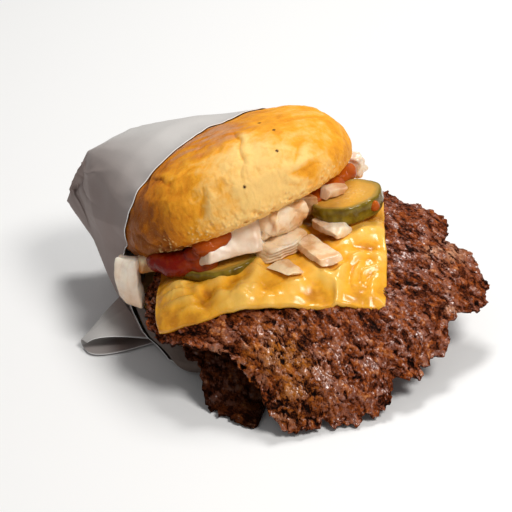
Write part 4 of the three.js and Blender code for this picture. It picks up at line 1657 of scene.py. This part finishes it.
# -------- paper
@dataclass
class Pocket:
    """Open pocket of greaseproof paper, pinched flat at its closed end."""

    bed: Bed = field(default_factory=Bed)
    thick: float = 0.25
    stand: float = 2.2
    tail_top: float = 72.5
    tail_foot: float = 93.0
    seam: Pair = (29.0, 59.0)
    seam_wide: float = 1.6
    around: int = 300
    rows: int = 130
    mouth: Sequence[Pair] = (
        (0, 16), (60, 14.5), (90, 12.5), (128, 16.5), (160, 21.5), (180, 26), (200, 25.5), (208, 23),
        (213, 16), (219, -2), (224, -22), (235, -38), (270, -46), (315, -32), (330, -12), (345, 10),
    )
    under_mouth: Sequence[Pair] = (
        (0, 19), (60, 15), (130, 15), (165, 21), (180, 27), (193, 24.5), (201, 3), (208, -20), (225, -36),
        (270, -43), (315, -29), (330, -9), (345, 13),
    )
    long_folds: Sequence[Triple] = (
        (122, 1.3, 3.5), (150, -0.7, 5.0), (178, 0.8, 4.0), (206, 1.2, 4.0), (62, 1.3, 4.0), (25, -1.0, 5.0),
        (338, 1.1, 4.0), (300, -0.8, 5.0),
    )

    def __post_init__(self) -> None:
        """Works out the pocket's directions and its hull."""
        a = self.bed.tail_turn
        self.tail = np.array([math.cos(a), math.sin(a)])
        self.side = np.array([self.tail[1], -self.tail[0]])
        self.planes = self._hull()
        self.grain = Grain(77)

    def spot(self, d: Array, w: Array, z: Array) -> Array:
        """Point from its depth into the pocket, its sideways place and its height."""
        return stack(d * self.tail[0] + w * self.side[0], d * self.tail[1] + w * self.side[1], z)

    def _hull(self) -> Array:
        """Tight hull round the bun and the seam.

        Returns:
            Outward direction and distance of each of its planes.
        """
        turns = np.linspace(0, 2 * math.pi, 49)[:-1]
        points = []
        for share, level in Heel().profile:
            x = self.bed.heel_at[0] + self.bed.heel_radius * share * np.cos(turns)
            y = self.bed.heel_at[1] + self.bed.heel_radius * share * np.sin(turns)
            high = self.bed.heel_top(x, y) - self.bed.lower_sag(x, y)
            points.append(stack(x, y, 1.6 + (high - 1.6) * (level + 1) / 2))
        crown = Crown()
        for share, level in crown.profile:
            reach = crown.radius * share
            local = stack(reach * np.cos(turns), reach * np.sin(turns), crown.height * level)
            points.append(local @ crown.frame().T + np.array(crown.centre))
        for d, z in ((self.tail_top, self.seam[1]), (self.tail_foot, self.seam[0] + 2)):
            points.append(self.spot(np.array([d, d]), np.array([-0.5, 0.5]), np.array([z, z])))
        bm = bmesh.new()
        for p in np.concatenate(points):
            bm.verts.new(p)
        bmesh.ops.convex_hull(bm, input=bm.verts)
        bm.normal_update()
        planes = [(*f.normal, f.normal.dot(f.verts[0].co)) for f in bm.faces if f.calc_area() > 1e-6]
        bm.free()
        return np.array(planes)

    @staticmethod
    def _stops(stops: Sequence[Pair], turn: Array) -> Array:
        """Smooth value round the pocket between stops.

        Args:
            stops: Turn in degrees and value of each.
            turn: Turn round the pocket, in radians.

        Returns:
            The value at each turn.
        """
        t = np.degrees(turn) % 360
        out = np.zeros_like(t)
        for (a, da), (b, db) in zip(stops, [*stops[1:], (stops[0][0] + 360, stops[0][1])]):
            out = np.where((t >= a) & (t <= b), da + (db - da) * ease(a, b, t), out)
        return out

    def wall(self, share: Array, turn: Array, inset: Any, stops: Sequence[Pair]) -> Array:
        """Points of the wall without its creases, in straight runs towards the seam.

        Args:
            share: Way from the mouth to the closed end, 0 to 1.
            turn: Turn round the pocket, in radians.
            inset: Distance inside the outer layer in millimetres.
            stops: Turn and depth of places round the mouth.

        Returns:
            The points.
        """
        runs = 11
        low = np.floor(np.clip(share, 0, 1 - 1e-9) * runs)
        near = self.body(low / runs, turn, inset, stops)
        far = self.body((low + 1) / runs, turn, inset, stops)
        along = (share * runs - low)[:, None]
        straight = near * (1 - along) + far * along
        tight = (0.85 * ease(0.35, 0.6, share))[:, None]
        return self.body(share, turn, inset, stops) * (1 - tight) + straight * tight

    def body(self, share: Array, turn: Array, inset: Any, stops: Sequence[Pair]) -> Array:
        """Points of the wall as a smooth body.

        Args:
            share: Way from the mouth to the closed end, 0 to 1.
            turn: Turn round the pocket, in radians.
            inset: Distance inside the outer layer in millimetres.
            stops: Turn and depth of places round the mouth.

        Returns:
            The points.
        """
        rise = (np.sin(turn) + 1) / 2
        tail = self.tail_foot + (self.tail_top - self.tail_foot) * rise
        d = self._stops(stops, turn) * (1 - share) + tail * share
        mid = self.spot(d, np.zeros_like(d), 32 + 10 * np.clip(d / 87, 0, 1))
        way = stack(self.side[0] * np.cos(turn), self.side[1] * np.cos(turn), np.sin(turn))
        facing = way @ self.planes[:, :3].T
        room = self.stand - np.reshape(inset, (-1, 1)) + self.planes[:, 3] - mid @ self.planes[:, :3].T
        reach = np.where(facing > 1e-6, room / np.maximum(facing, 1e-6), np.inf).min(-1)
        loose = 2.5 * np.sin(np.pi * share) ** 0.8 * np.maximum(0, np.sin(turn))
        drawn = 5 * bump(turn_gap(turn, 215), 0, 40) * ease(0.45, 0.8, share)
        p = mid + way * np.maximum(reach + loose - drawn, 0.5)[:, None]
        half = self.seam_wide / 2 - inset
        seam = self.spot(tail, half * np.cos(turn), self.seam[0] + (self.seam[1] - self.seam[0]) * rise)
        pinch = (ease(0.72, 1, share) ** 1.3)[:, None]
        p = p * (1 - pinch) + seam * pinch
        spread = 10.5 * ease(10, -18, d) * bump(turn_gap(turn, 217), 0, 13) * (1 - ease(0.1, 0.35, share))
        p = p - spread[:, None] * stack(self.side[0], self.side[1], 0)
        p[:, 2] = np.maximum(p[:, 2], inset)
        return p

    def creases(self, share: Array, turn: Array, p: Array) -> Array:
        """How far the paper stands off its smooth shape.

        Args:
            share: Way from the mouth to the closed end, 0 to 1.
            turn: Turn round the pocket, in radians.
            p: Points of the wall.

        Returns:
            The distance at each point, in millimetres.
        """
        t = np.degrees(turn) % 360
        free = ease(0.0, 0.15, share) * (1 - ease(0.88, 0.96, share))
        off = share - 0.92 - 0.0003 * (t - 160)
        ridge = 1.7 * bump(off, 0, 0.017) - 1.3 * bump(off, -0.04, 0.022)
        ridge *= ease(112, 150, t) * (1 - ease(200, 225, t)) * (1 - ease(0.96, 0.99, share))
        fold = np.zeros_like(share)
        for at, height, width in self.long_folds:
            lean = at + 12 * (share - 0.6)
            line = np.exp(-np.abs(t - lean) / width)
            fold += height * line * ease(0.3, 0.8, share)
        crumple = 1.1 * (0.3 - np.abs(self.grain.smooth(p, 30))) + 0.6 * self.grain.smooth(p + 200, 38)
        crumple += 0.3 * (0.3 - np.abs(self.grain.smooth(p + 60, 12)))
        low = ease(0.5, 6.0, p[:, 2])
        return low * (ridge + free * (fold + crumple * (0.3 + 0.7 * share)))

    def _grid(self, share: Array, turn: Array, stops: Sequence[Pair], inset: Any) -> tuple[Array, Array]:
        """Points of the creased wall.

        Args:
            share: Way from the mouth to the closed end, 0 to 1.
            turn: Turn round the pocket, in radians.
            stops: Turn and depth of places round the mouth.
            inset: Distance inside the outer layer in millimetres.

        Returns:
            The points and their outward directions.
        """
        p = self.wall(share, turn, inset, stops)
        eps = 1e-3
        ds = self.wall(np.clip(share + eps, 0, 1), turn, inset, stops)
        ds = ds - self.wall(np.clip(share - eps, 0, 1), turn, inset, stops)
        dt = self.wall(share, turn + eps, inset, stops) - self.wall(share, turn - eps, inset, stops)
        out = np.cross(ds, dt)
        length = np.linalg.norm(out, axis=-1, keepdims=True)
        out = np.where(length > 1e-9, out / np.maximum(length, 1e-9), 0)
        return p + out * self.creases(share, turn, p)[:, None], out

    @staticmethod
    def hug(p: Array, near: BVHTree, gap: float, pull: Array) -> Array:
        """Draws points towards a body and pushes out those that come too close to it.

        Args:
            p: Points.
            near: The body, in metres.
            gap: Smallest gap to leave.
            pull: How strongly each point is drawn, from 0 to 1.

        Returns:
            The moved points.
        """
        out = p.copy()
        for k in np.nonzero((pull > 0) | (p[:, 2] > 15))[0]:
            place, normal, _, _ = near.find_nearest(Vector(p[k] * MM), 0.012)
            if place is None:
                continue
            foot = np.array(place) / MM
            off = float((p[k] - foot) @ np.array(normal))
            way = np.array(normal)
            wanted = off + (gap - off) * float(pull[k])
            firm = 1.0 if pull[k] > 0 else ease(15, 24, p[k, 2]) * ease(-0.6, 0.1, way[2])
            out[k] += way * (max(wanted, gap) - off) * firm
        return out

    def build(self, crown: Crown) -> Object:
        """Makes the pocket.

        Args:
            crown: Top of the bun, on which the mouth lies.

        Returns:
            The pocket.
        """
        n, rows = self.around, self.rows
        steps = np.linspace(0, 1, rows) ** 1.15
        share, turn = each_pair(steps, np.linspace(0, 2 * math.pi, n + 1)[:-1])
        outer, _ = self._grid(share, turn, self.mouth, 0.0)
        points, sides = crown.plain
        tree = BVHTree.FromPolygons((points * MM).tolist(), sides)
        t = np.degrees(turn) % 360
        over = ease(20, 50, t) * (1 - ease(162, 186, t))
        pull = over * (1 - ease(0.0, 0.3, share)) * 0.95
        moved = (self.hug(outer, tree, 0.45 + self.thick, pull) - outer).reshape(rows, n, 3)
        soft = sum(np.roll(moved, k, axis=1) for k in range(-3, 4)) / 7
        soft = np.pad(soft, ((3, 3), (0, 0), (0, 0)), mode="edge")
        soft = sum(soft[k : k + rows] for k in range(7)) / 7
        firm = np.minimum(1, 3 * pull).reshape(rows, n, 1)
        grid = outer.reshape(rows, n, 3) + moved * firm + soft * (1 - firm)
        outer = grid.reshape(-1, 3)
        ds = np.gradient(grid, axis=0).reshape(-1, 3)
        dt = (np.roll(grid, -1, axis=1) - np.roll(grid, 1, axis=1)).reshape(-1, 3)
        out = unit(np.cross(ds, dt))
        keep = int((steps < 0.93).sum())
        inner = (outer - out * self.thick)[: keep * n]
        inner[:, 2] = np.maximum(inner[:, 2], self.thick * (outer[: keep * n, 2] < 1.0))
        faces: list[tuple[int, ...]] = []
        nxt = np.roll(np.arange(n), -1)
        for base, count, flip in ((0, rows, True), (rows * n, keep, False)):
            for i in range(count - 1):
                a, b = base + i * n + np.arange(n), base + (i + 1) * n + np.arange(n)
                quad = np.stack([a, a[nxt], b[nxt], b], -1)
                faces += [tuple(q) for q in (quad[:, ::-1] if flip else quad).tolist()]
        mouth_o, mouth_i = np.arange(n), rows * n + np.arange(n)
        faces += [tuple(q) for q in np.stack([mouth_o, mouth_o[nxt], mouth_i[nxt], mouth_i], -1).tolist()]
        poles = np.stack([outer[-n:].mean(0), inner[-n:].mean(0)])
        last_o, last_i = (rows - 1) * n + np.arange(n), (rows + keep - 1) * n + np.arange(n)
        pole_o, pole_i = (rows + keep) * n, (rows + keep) * n + 1
        faces += [(int(last_o[nxt[k]]), int(last_o[k]), pole_o) for k in range(n)]
        faces += [(int(last_i[k]), int(last_i[nxt[k]]), pole_i) for k in range(n)]
        verts = np.concatenate([outer, inner, poles])
        share = np.concatenate([share, share[: keep * n], [1, 0.9]])
        turn = np.concatenate([turn, turn[: keep * n], [0, 0]])
        inside = np.concatenate([np.zeros(rows * n), np.ones(keep * n), [0, 1]])
        # The lip at the lower left of the mouth and the inside get grease together with painted shade.
        lip = bump(turn_gap(turn, 216), 0, 9) * ease(0.16, 0.02, share)
        wide = np.degrees(turn) % 360
        # Painted shade on the left side of the pocket, turned away from the lamps.
        shade = ease(85 - 30 * share, 165 - 45 * share, wide) * (1 - ease(250, 300, wide))
        # Painted highlight along the cut edge of the mouth.
        edge = (share < 0.5 * (steps[1] + steps[2])) * (1 - 0.2 * inside)
        marks = {
            "grease": np.clip(0.35 * lip + 0.75 * ease(0.5, 0.0, share) * inside, 0, 1),
            "shade": shade * (1 - inside),
            "cut": edge,
        }
        return mesh_piece("paper_pocket", verts, faces, marks)

    def build_under_layer(self) -> Object:
        """Makes the second layer of the sheet that shows inside the mouth, against the bottom bun.

        Returns:
            The layer.
        """
        across, along = 110, 90
        turn, share = each_pair(np.radians(np.linspace(192, 262, across + 1)), np.linspace(0, 0.5, along + 1))
        outer, way = self._grid(share, turn, self.under_mouth, 0.7 + 2.2 * ease(0.25, 0.5, share))
        inner = outer - way * self.thick
        inner[:, 2] = np.maximum(inner[:, 2], 0.4)
        outer[:, 2] = np.maximum(outer[:, 2], 0.5)
        # The whole layer is painted in shade and grease, darkest towards its edge, with a faint painted
        # highlight on the edge itself.
        soak = ease(0.3, 0.02, share)
        marks = {"grease": 0.75 + 0.25 * soak, "shade": np.ones_like(share), "cut": (share < 0.004) * 0.15}
        return sheet_piece("paper_under_layer", outer, inner, (across, along), marks)


def sheet_piece(
    name: str, front: Array, back: Array, steps: tuple[int, int], marks: dict[str, Array]
) -> Object:
    """Makes a thin closed sheet from the grids of its two faces.

    Args:
        name: Name of the object.
        front: Points of one face, row by row.
        back: Points of the other face.
        steps: Number of squares each way.
        marks: Values on the points of one face, used for both.

    Returns:
        The sheet, its faces turned outward.
    """
    quads, rim = net(*steps)
    count = len(front)
    faces = [tuple(q) for q in np.concatenate([quads, quads[:, ::-1] + count]).tolist()]
    faces += band(rim, rim + count)
    both = {key: np.tile(values, 2) for key, values in marks.items()}
    piece = mesh_piece(name, np.concatenate([front, back]), faces, both)
    bm = bmesh.new()
    bm.from_mesh(piece.data)
    bmesh.ops.recalc_face_normals(bm, faces=bm.faces)
    bm.to_mesh(piece.data)
    bm.free()
    return piece


@dataclass
class Corner(Shape):
    """Curled corner of the sheet at the foot of the left side: an open, flattened cone.

    Each section goes from the lower front edge back under, over the fold to the upper edge."""

    thick: float = 0.25
    steps: tuple[int, int] = (90, 150)
    sections: Sequence[Sequence[Triple]] = (
        ((-34.5, -14.6, 0.8), (-40, -5, 0.8), (-44.5, -1, 7), (-45.5, -3.9, 18.5), (-35.5, -13.8, 2.2)),
        ((-54.5, -17.6, 0.8), (-56, -9, 0.8), (-56.5, -5, 5), (-55.6, -6.5, 10.6), (-52.5, -14, 6.6)),
        ((-62.6, -11.8, 0.8), (-63.8, -9.6, 0.8), (-64.4, -8.2, 1.8), (-64, -8.4, 3.8), (-61.6, -11.8, 4)),
    )

    def at(self, u: Array, v: Array) -> Array:
        """Middle of the sheet.

        Args:
            u: How far from the wall outwards, from 0 to 1.
            v: How far round the fold, from 0 to 1.

        Returns:
            The points.
        """
        near, mid, far = (np.array(s, float) for s in self.sections)
        bend = 2 * mid - near / 2 - far / 2
        a, b, c = ((1 - u) ** 2)[:, None], (2 * u * (1 - u))[:, None], (u**2)[:, None]
        rows = [a * near[k] + b * bend[k] + c * far[k] for k in range(5)]
        out = np.zeros_like(rows[0])
        for k in range(4):
            p0, p1, p2, p3 = (rows[min(max(j, 0), 4)] for j in (k - 1, k, k + 1, k + 2))
            if k == 0:
                p0 = 2 * p1 - p2
            if k == 3:
                p3 = 2 * p2 - p1
            t = np.clip(v * 4 - k, 0, 1)[:, None]
            square, cube = 2 * p0 - 5 * p1 + 4 * p2 - p3, 3 * p1 - 3 * p2 + p3 - p0
            curve = 0.5 * (2 * p1 + (p2 - p0) * t + square * t**2 + cube * t**3)
            out = np.where(((v * 4 >= k) & (v * 4 <= k + 1))[:, None], curve, out)
        return out

    def build(self) -> Object:
        """See Shape."""
        u, v = each_pair(*(np.linspace(0, 1, count + 1) for count in self.steps))
        eps = 1e-3
        du = self.at(np.clip(u + eps, 0, 1), v) - self.at(np.clip(u - eps, 0, 1), v)
        dv = self.at(u, np.clip(v + eps, 0, 1)) - self.at(u, np.clip(v - eps, 0, 1))
        out = unit(np.cross(du, dv))
        grain = Grain(91)
        p = self.at(u, v)
        fan = 0.9 * np.exp(-np.abs(v - 0.60) / 0.02) - 0.7 * np.exp(-np.abs(v - 0.72) / 0.025)
        fan += 0.5 * np.exp(-np.abs(v - 0.84) / 0.02)
        rough = (fan * (1 - u) + 0.5 * grain.smooth(p, 10)) * ease(1.5, 5, p[:, 2]) * ease(0, 0.05, v)
        p = p + out * (rough * (1 - ease(0.97, 1.0, v)))[:, None]
        front, back = p + out * 0.5 * self.thick, p - out * 0.5 * self.thick
        for side in (front, back):
            side[:, 2] = np.maximum(side[:, 2], 0.02)
        back[:, 2] = np.where(np.abs(back[:, 2] - front[:, 2]) < 0.02, front[:, 2] + self.thick, back[:, 2])
        # Painted shade: darker towards the wall and round the lower part of the fold; the grease tint follows
        # the same painted shade, and both cut edges get a painted highlight.
        shade = np.clip(ease(0.55, 0.0, u) + 0.5 * ease(0.45, 0.2, v), 0, 1)
        rim = np.maximum(ease(0.99, 0.996, v), ease(0.01, 0.004, v))
        marks = {"grease": 0.12 * shade, "shade": shade, "cut": 0.8 * rim}
        return sheet_piece("paper_corner", front, back, self.steps, marks)


# -------- studio
@dataclass
class Studio:
    """Plain pale floor, soft light from the right and the camera."""

    rise_deg: float = 31.0
    roll_deg: float = 9.0
    distance: float = 0.76
    target: Triple = (0.0128, -0.020, 0.0375)
    sensor: float = 36.0
    lens: float = 133.59375
    aim: Triple = (0.0, -0.02, 0.03)

    def camera(self) -> None:
        """Places the camera."""
        e, r = math.radians(self.rise_deg), math.radians(self.roll_deg)
        back = Vector((0, -math.cos(e), math.sin(e)))
        right = Vector((1, 0, 0))
        up = back.cross(right)
        right2 = right * math.cos(r) - up * math.sin(r)
        up2 = up * math.cos(r) + right * math.sin(r)
        data = bpy.data.cameras.new("camera")
        data.sensor_width, data.lens = self.sensor, self.lens
        data.clip_start, data.clip_end = 0.05, 20
        camera = add_object("camera", data)
        turn = Matrix((right2, up2, back)).transposed().to_4x4()
        camera.matrix_world = Matrix.Translation(Vector(self.target) + back * self.distance) @ turn
        bpy.context.scene.camera = camera

    def lamp(self, name: str, at: Sequence[float], size: float, watts: float, tint: Colour) -> None:
        """Adds a soft square lamp.

        Args:
            name: Name of the lamp.
            at: Its place in metres.
            size: Side of the square in metres.
            watts: Its strength.
            tint: Its colour.
        """
        data = bpy.data.lights.new(name, "AREA")
        data.size, data.energy, data.color = size, watts, tint
        lamp = add_object(name, data)
        lamp.location = at
        lamp.rotation_euler = (Vector(self.aim) - Vector(at)).to_track_quat("-Z", "Y").to_euler()

    def build(self) -> None:
        """Makes floor, lamps, surroundings and camera."""
        world = bpy.data.worlds.new("studio")
        world.use_nodes = True
        backdrop = world.node_tree.nodes["Background"]
        backdrop.inputs[0].default_value = (1, 1, 1, 1)
        backdrop.inputs[1].default_value = 0.24
        bpy.context.scene.world = world
        bpy.context.scene.view_settings.view_transform = "Standard"
        self.lamp("key", (0.46, -0.44, 0.76), 0.26, 5.6, (1.0, 0.98, 0.95))
        self.lamp("back", (0.22, 0.50, 0.95), 0.28, 6.2, (1.0, 0.99, 0.97))
        material, n, shader = new_material("pale floor")
        colour = n.mix(n.noise(n.place(), 3.0, 2.0), (0.9, 0.9, 0.9), (0.92, 0.92, 0.92))
        set_surface(n, shader, colour, 0.8, 0.1)
        size = 3000.0
        corners = np.array([(-1, -1, 0), (1, -1, 0), (1, 1, 0), (-1, 1, 0)]) * size
        floor = mesh_piece("floor", corners, [(0, 1, 2, 3)])
        floor.location.z = -0.0003
        floor.data.materials.append(material)
        self.camera()


# -------- the burger
UPPER_EDGE = (
    (178, 3.5, 22), (-133, -12, 18), (-105, -1.5, 5), (-62, -5, 6), (-27, -2, 7),
    (-12, 10, 12), (9, -4, 5), (20, 1.5, 5), (37, -2, 8), (57, 2, 12), (100, -3, 30), (-106, 4.5, 6),
)
LOWER_EDGE = (
    (52, -4, 14), (-160, -8, 20), (-142, -4, 10), (-108, 4, 7),
    (-60, 2, 20), (20, -4, 25), (90, -6, 30), (160, -4, 20),
)


@dataclass
class Burger:
    """The whole wrapped burger."""

    finishes: Finishes

    def build_bread(self) -> None:
        """Makes both halves of the bun."""
        self.crown = Crown()
        self.crown.dress(self.finishes.bread, "bun_crust", ["bun_crown"])
        Heel().dress(self.finishes.bread, "bun_crumb", ["bun_heel"])

    def build_patties(self) -> None:
        """Makes both patties."""
        upper = Patty(
            "patty_upper_look", (31, -31), 62, BED.upper_thick, UPPER_EDGE, BED.upper_top, 305, 3,
            raw_at=((88, -31, 6), (81, -33, 3.5), (84, -54, 3.5), (-10, -68, 5), (94, -25, 3)),
        )
        # The lower patty is painted in shadow under the upper one.
        lower = Patty(
            "patty_lower_look", (18, -30), 52, BED.lower_thick, LOWER_EDGE, BED.lower_top, 200, 8,
            raw_at=((2, -84, 3),), char=0.78, gap=(-105.0, -45.0, 15.0),
        )
        top = upper.build()
        crumbs = Crumbs("crust_crumbs", density=110000.0, size=0.0005, seed=5).build(top, self.finishes.patty)
        finish_piece(top, self.finishes.patty, ["patty_upper"])
        lower.dress(self.finishes.patty, "patty", ["patty_lower"])
        finish_piece(crumbs, self.finishes.patty)

    def build_toppings(self) -> None:
        """Makes cheese, pickles, onion and ketchup."""
        Cheese().dress(self.finishes.cheese, "cheese", ["cheese_slice"])
        for node, piece in (
            ("pickle_right", Pickle("pickle_right_look", (51.8, -4.4), 14.6, 7.6, 61, tilt=(0.0, -0.07))),
            ("pickle_left", Pickle("pickle_left_look", (-2, -19.2), 16.8, 4.0, 62, lift=-1.8)),
        ):
            piece.dress(self.finishes.pickle, "pickle", [node])
        chunks = (
            Chunk("onion_left_end", (-38.6, -15.0), (19, 9.5, 6), turn=70, tip=-72, lift=-11.6, seed=1,
                  bend=0.1, sharp=9, slant=0.15),
            Chunk("onion_left_small", (-30.2, -13.5), (9, 6.5, 7), turn=20, lift=-2.4, stain=0.6, seed=2,
                  sharp=8),
            Chunk("onion_slab", (5.0, -26), (24.5, 8, 16), turn=11, roll=-33, lift=1.4, stain=0.08, seed=3,
                  cuts=2, lumps=0.25),
            Chunk("onion_round", (25, -20.5), (19, 14, 11), turn=30, roll=8, lift=4.0, stain=0.32, seed=4,
                  cuts=12, sharp=8, lumps=1.2),
            Chunk("onion_front", (23.5, -42), (13, 6.5, 1.2), turn=-45, lift=-1.2, stain=0.5, seed=5,
                  bend=0.05),
            Chunk("onion_right_back", (44.6, -18), (16, 9, 3), turn=-62, lift=-1.0, stain=0.28, seed=6,
                  bend=0.0, slant=0.2),
            Chunk("onion_right_front", (36.2, -33.5), (25, 8.5, 2.6), turn=-63, lift=-0.9, stain=0.3, seed=7,
                  bend=0.0, slant=0.2),
            Chunk("onion_under_bun", (26, -8), (20, 9, 9), turn=20, lift=4, stain=0.5, seed=8, lumps=1.0),
            Chunk("onion_far_right", (60, 22), (9, 8, 12), turn=70, stain=0.15, seed=9, cuts=8, sharp=8,
                  lumps=1.2),
            Chunk("onion_shard", (48.3, -5.5), (9, 4, 3), turn=22, lift=8.4, stain=0.2, seed=10),
        )
        fan = Chunk("onion_round_layers", (22.5, -22.5), (20, 14, 5.2), turn=24, lift=-0.6, stain=0.3,
                    seed=14, cuts=1, fan=4, bend=-0.2)
        fan.dress(self.finishes.onion, "onion")
        for chunk in chunks:
            node = chunk.name
            chunk.name = node + "_look"
            chunk.dress(self.finishes.onion, "onion", [node])
        left = Sauce("ketchup_left_look", (
            ((-16.5, -23.5, 5.0), (11.5, 7.5, 5.2), -4), ((-24, -19.5, 6.0), (7, 6, 4.6), 0),
            ((-5.5, -28.3, 12.0), (6, 4.8, 3.8), 10), ((-0.5, -27.3, 13.6), (5.5, 4.6, 3.2), 10),
            ((-10, -26, 8.5), (6, 5, 3.8), 10), ((-8, -28, 4.0), (6, 5, 3.2), 10),
            ((8, -16, 9.5), (9, 5, 2.6), 20),
        ), thin_at=((-2, -28, 8), (8, -16, 9)))
        right = Sauce("ketchup_right_look", (
            ((44, 10, 7), (13, 8, 4.5), 45), ((37, 1, 7), (9, 6, 4), 20), ((53.5, 13, 9.5), (6.5, 5, 4), 50),
            ((47, 1.5, 10.5), (7, 5, 3.4), 40), ((41.5, -2.5, 9.5), (6, 4.5, 3.2), 30),
            ((62.8, -14.3, 5.8), (2.6, 1.8, 2.4), 40),
        ), thin_at=((46, 4, 18), (54, 16, 10), (63, -14, 4)), seed=6)
        left.dress(self.finishes.ketchup, "ketchup", ["ketchup_left"])
        right.dress(self.finishes.ketchup, "ketchup", ["ketchup_right"])

    def build_paper(self) -> None:
        """Makes the paper."""
        pocket = Pocket()
        finish_piece(pocket.build(self.crown), self.finishes.paper, ["wrap_paper"])
        finish_piece(pocket.build_under_layer(), self.finishes.paper)
        Corner().dress(self.finishes.paper, "paper")


def main() -> None:
    """Builds the studio and the burger, piece by piece."""
    logging.basicConfig(level=logging.INFO, format="%(name)s %(message)s")
    Studio().build()
    burger = Burger(Finishes())
    burger.build_bread()
    burger.build_patties()
    burger.build_toppings()
    burger.build_paper()


if __name__ == "__main__":
    main()
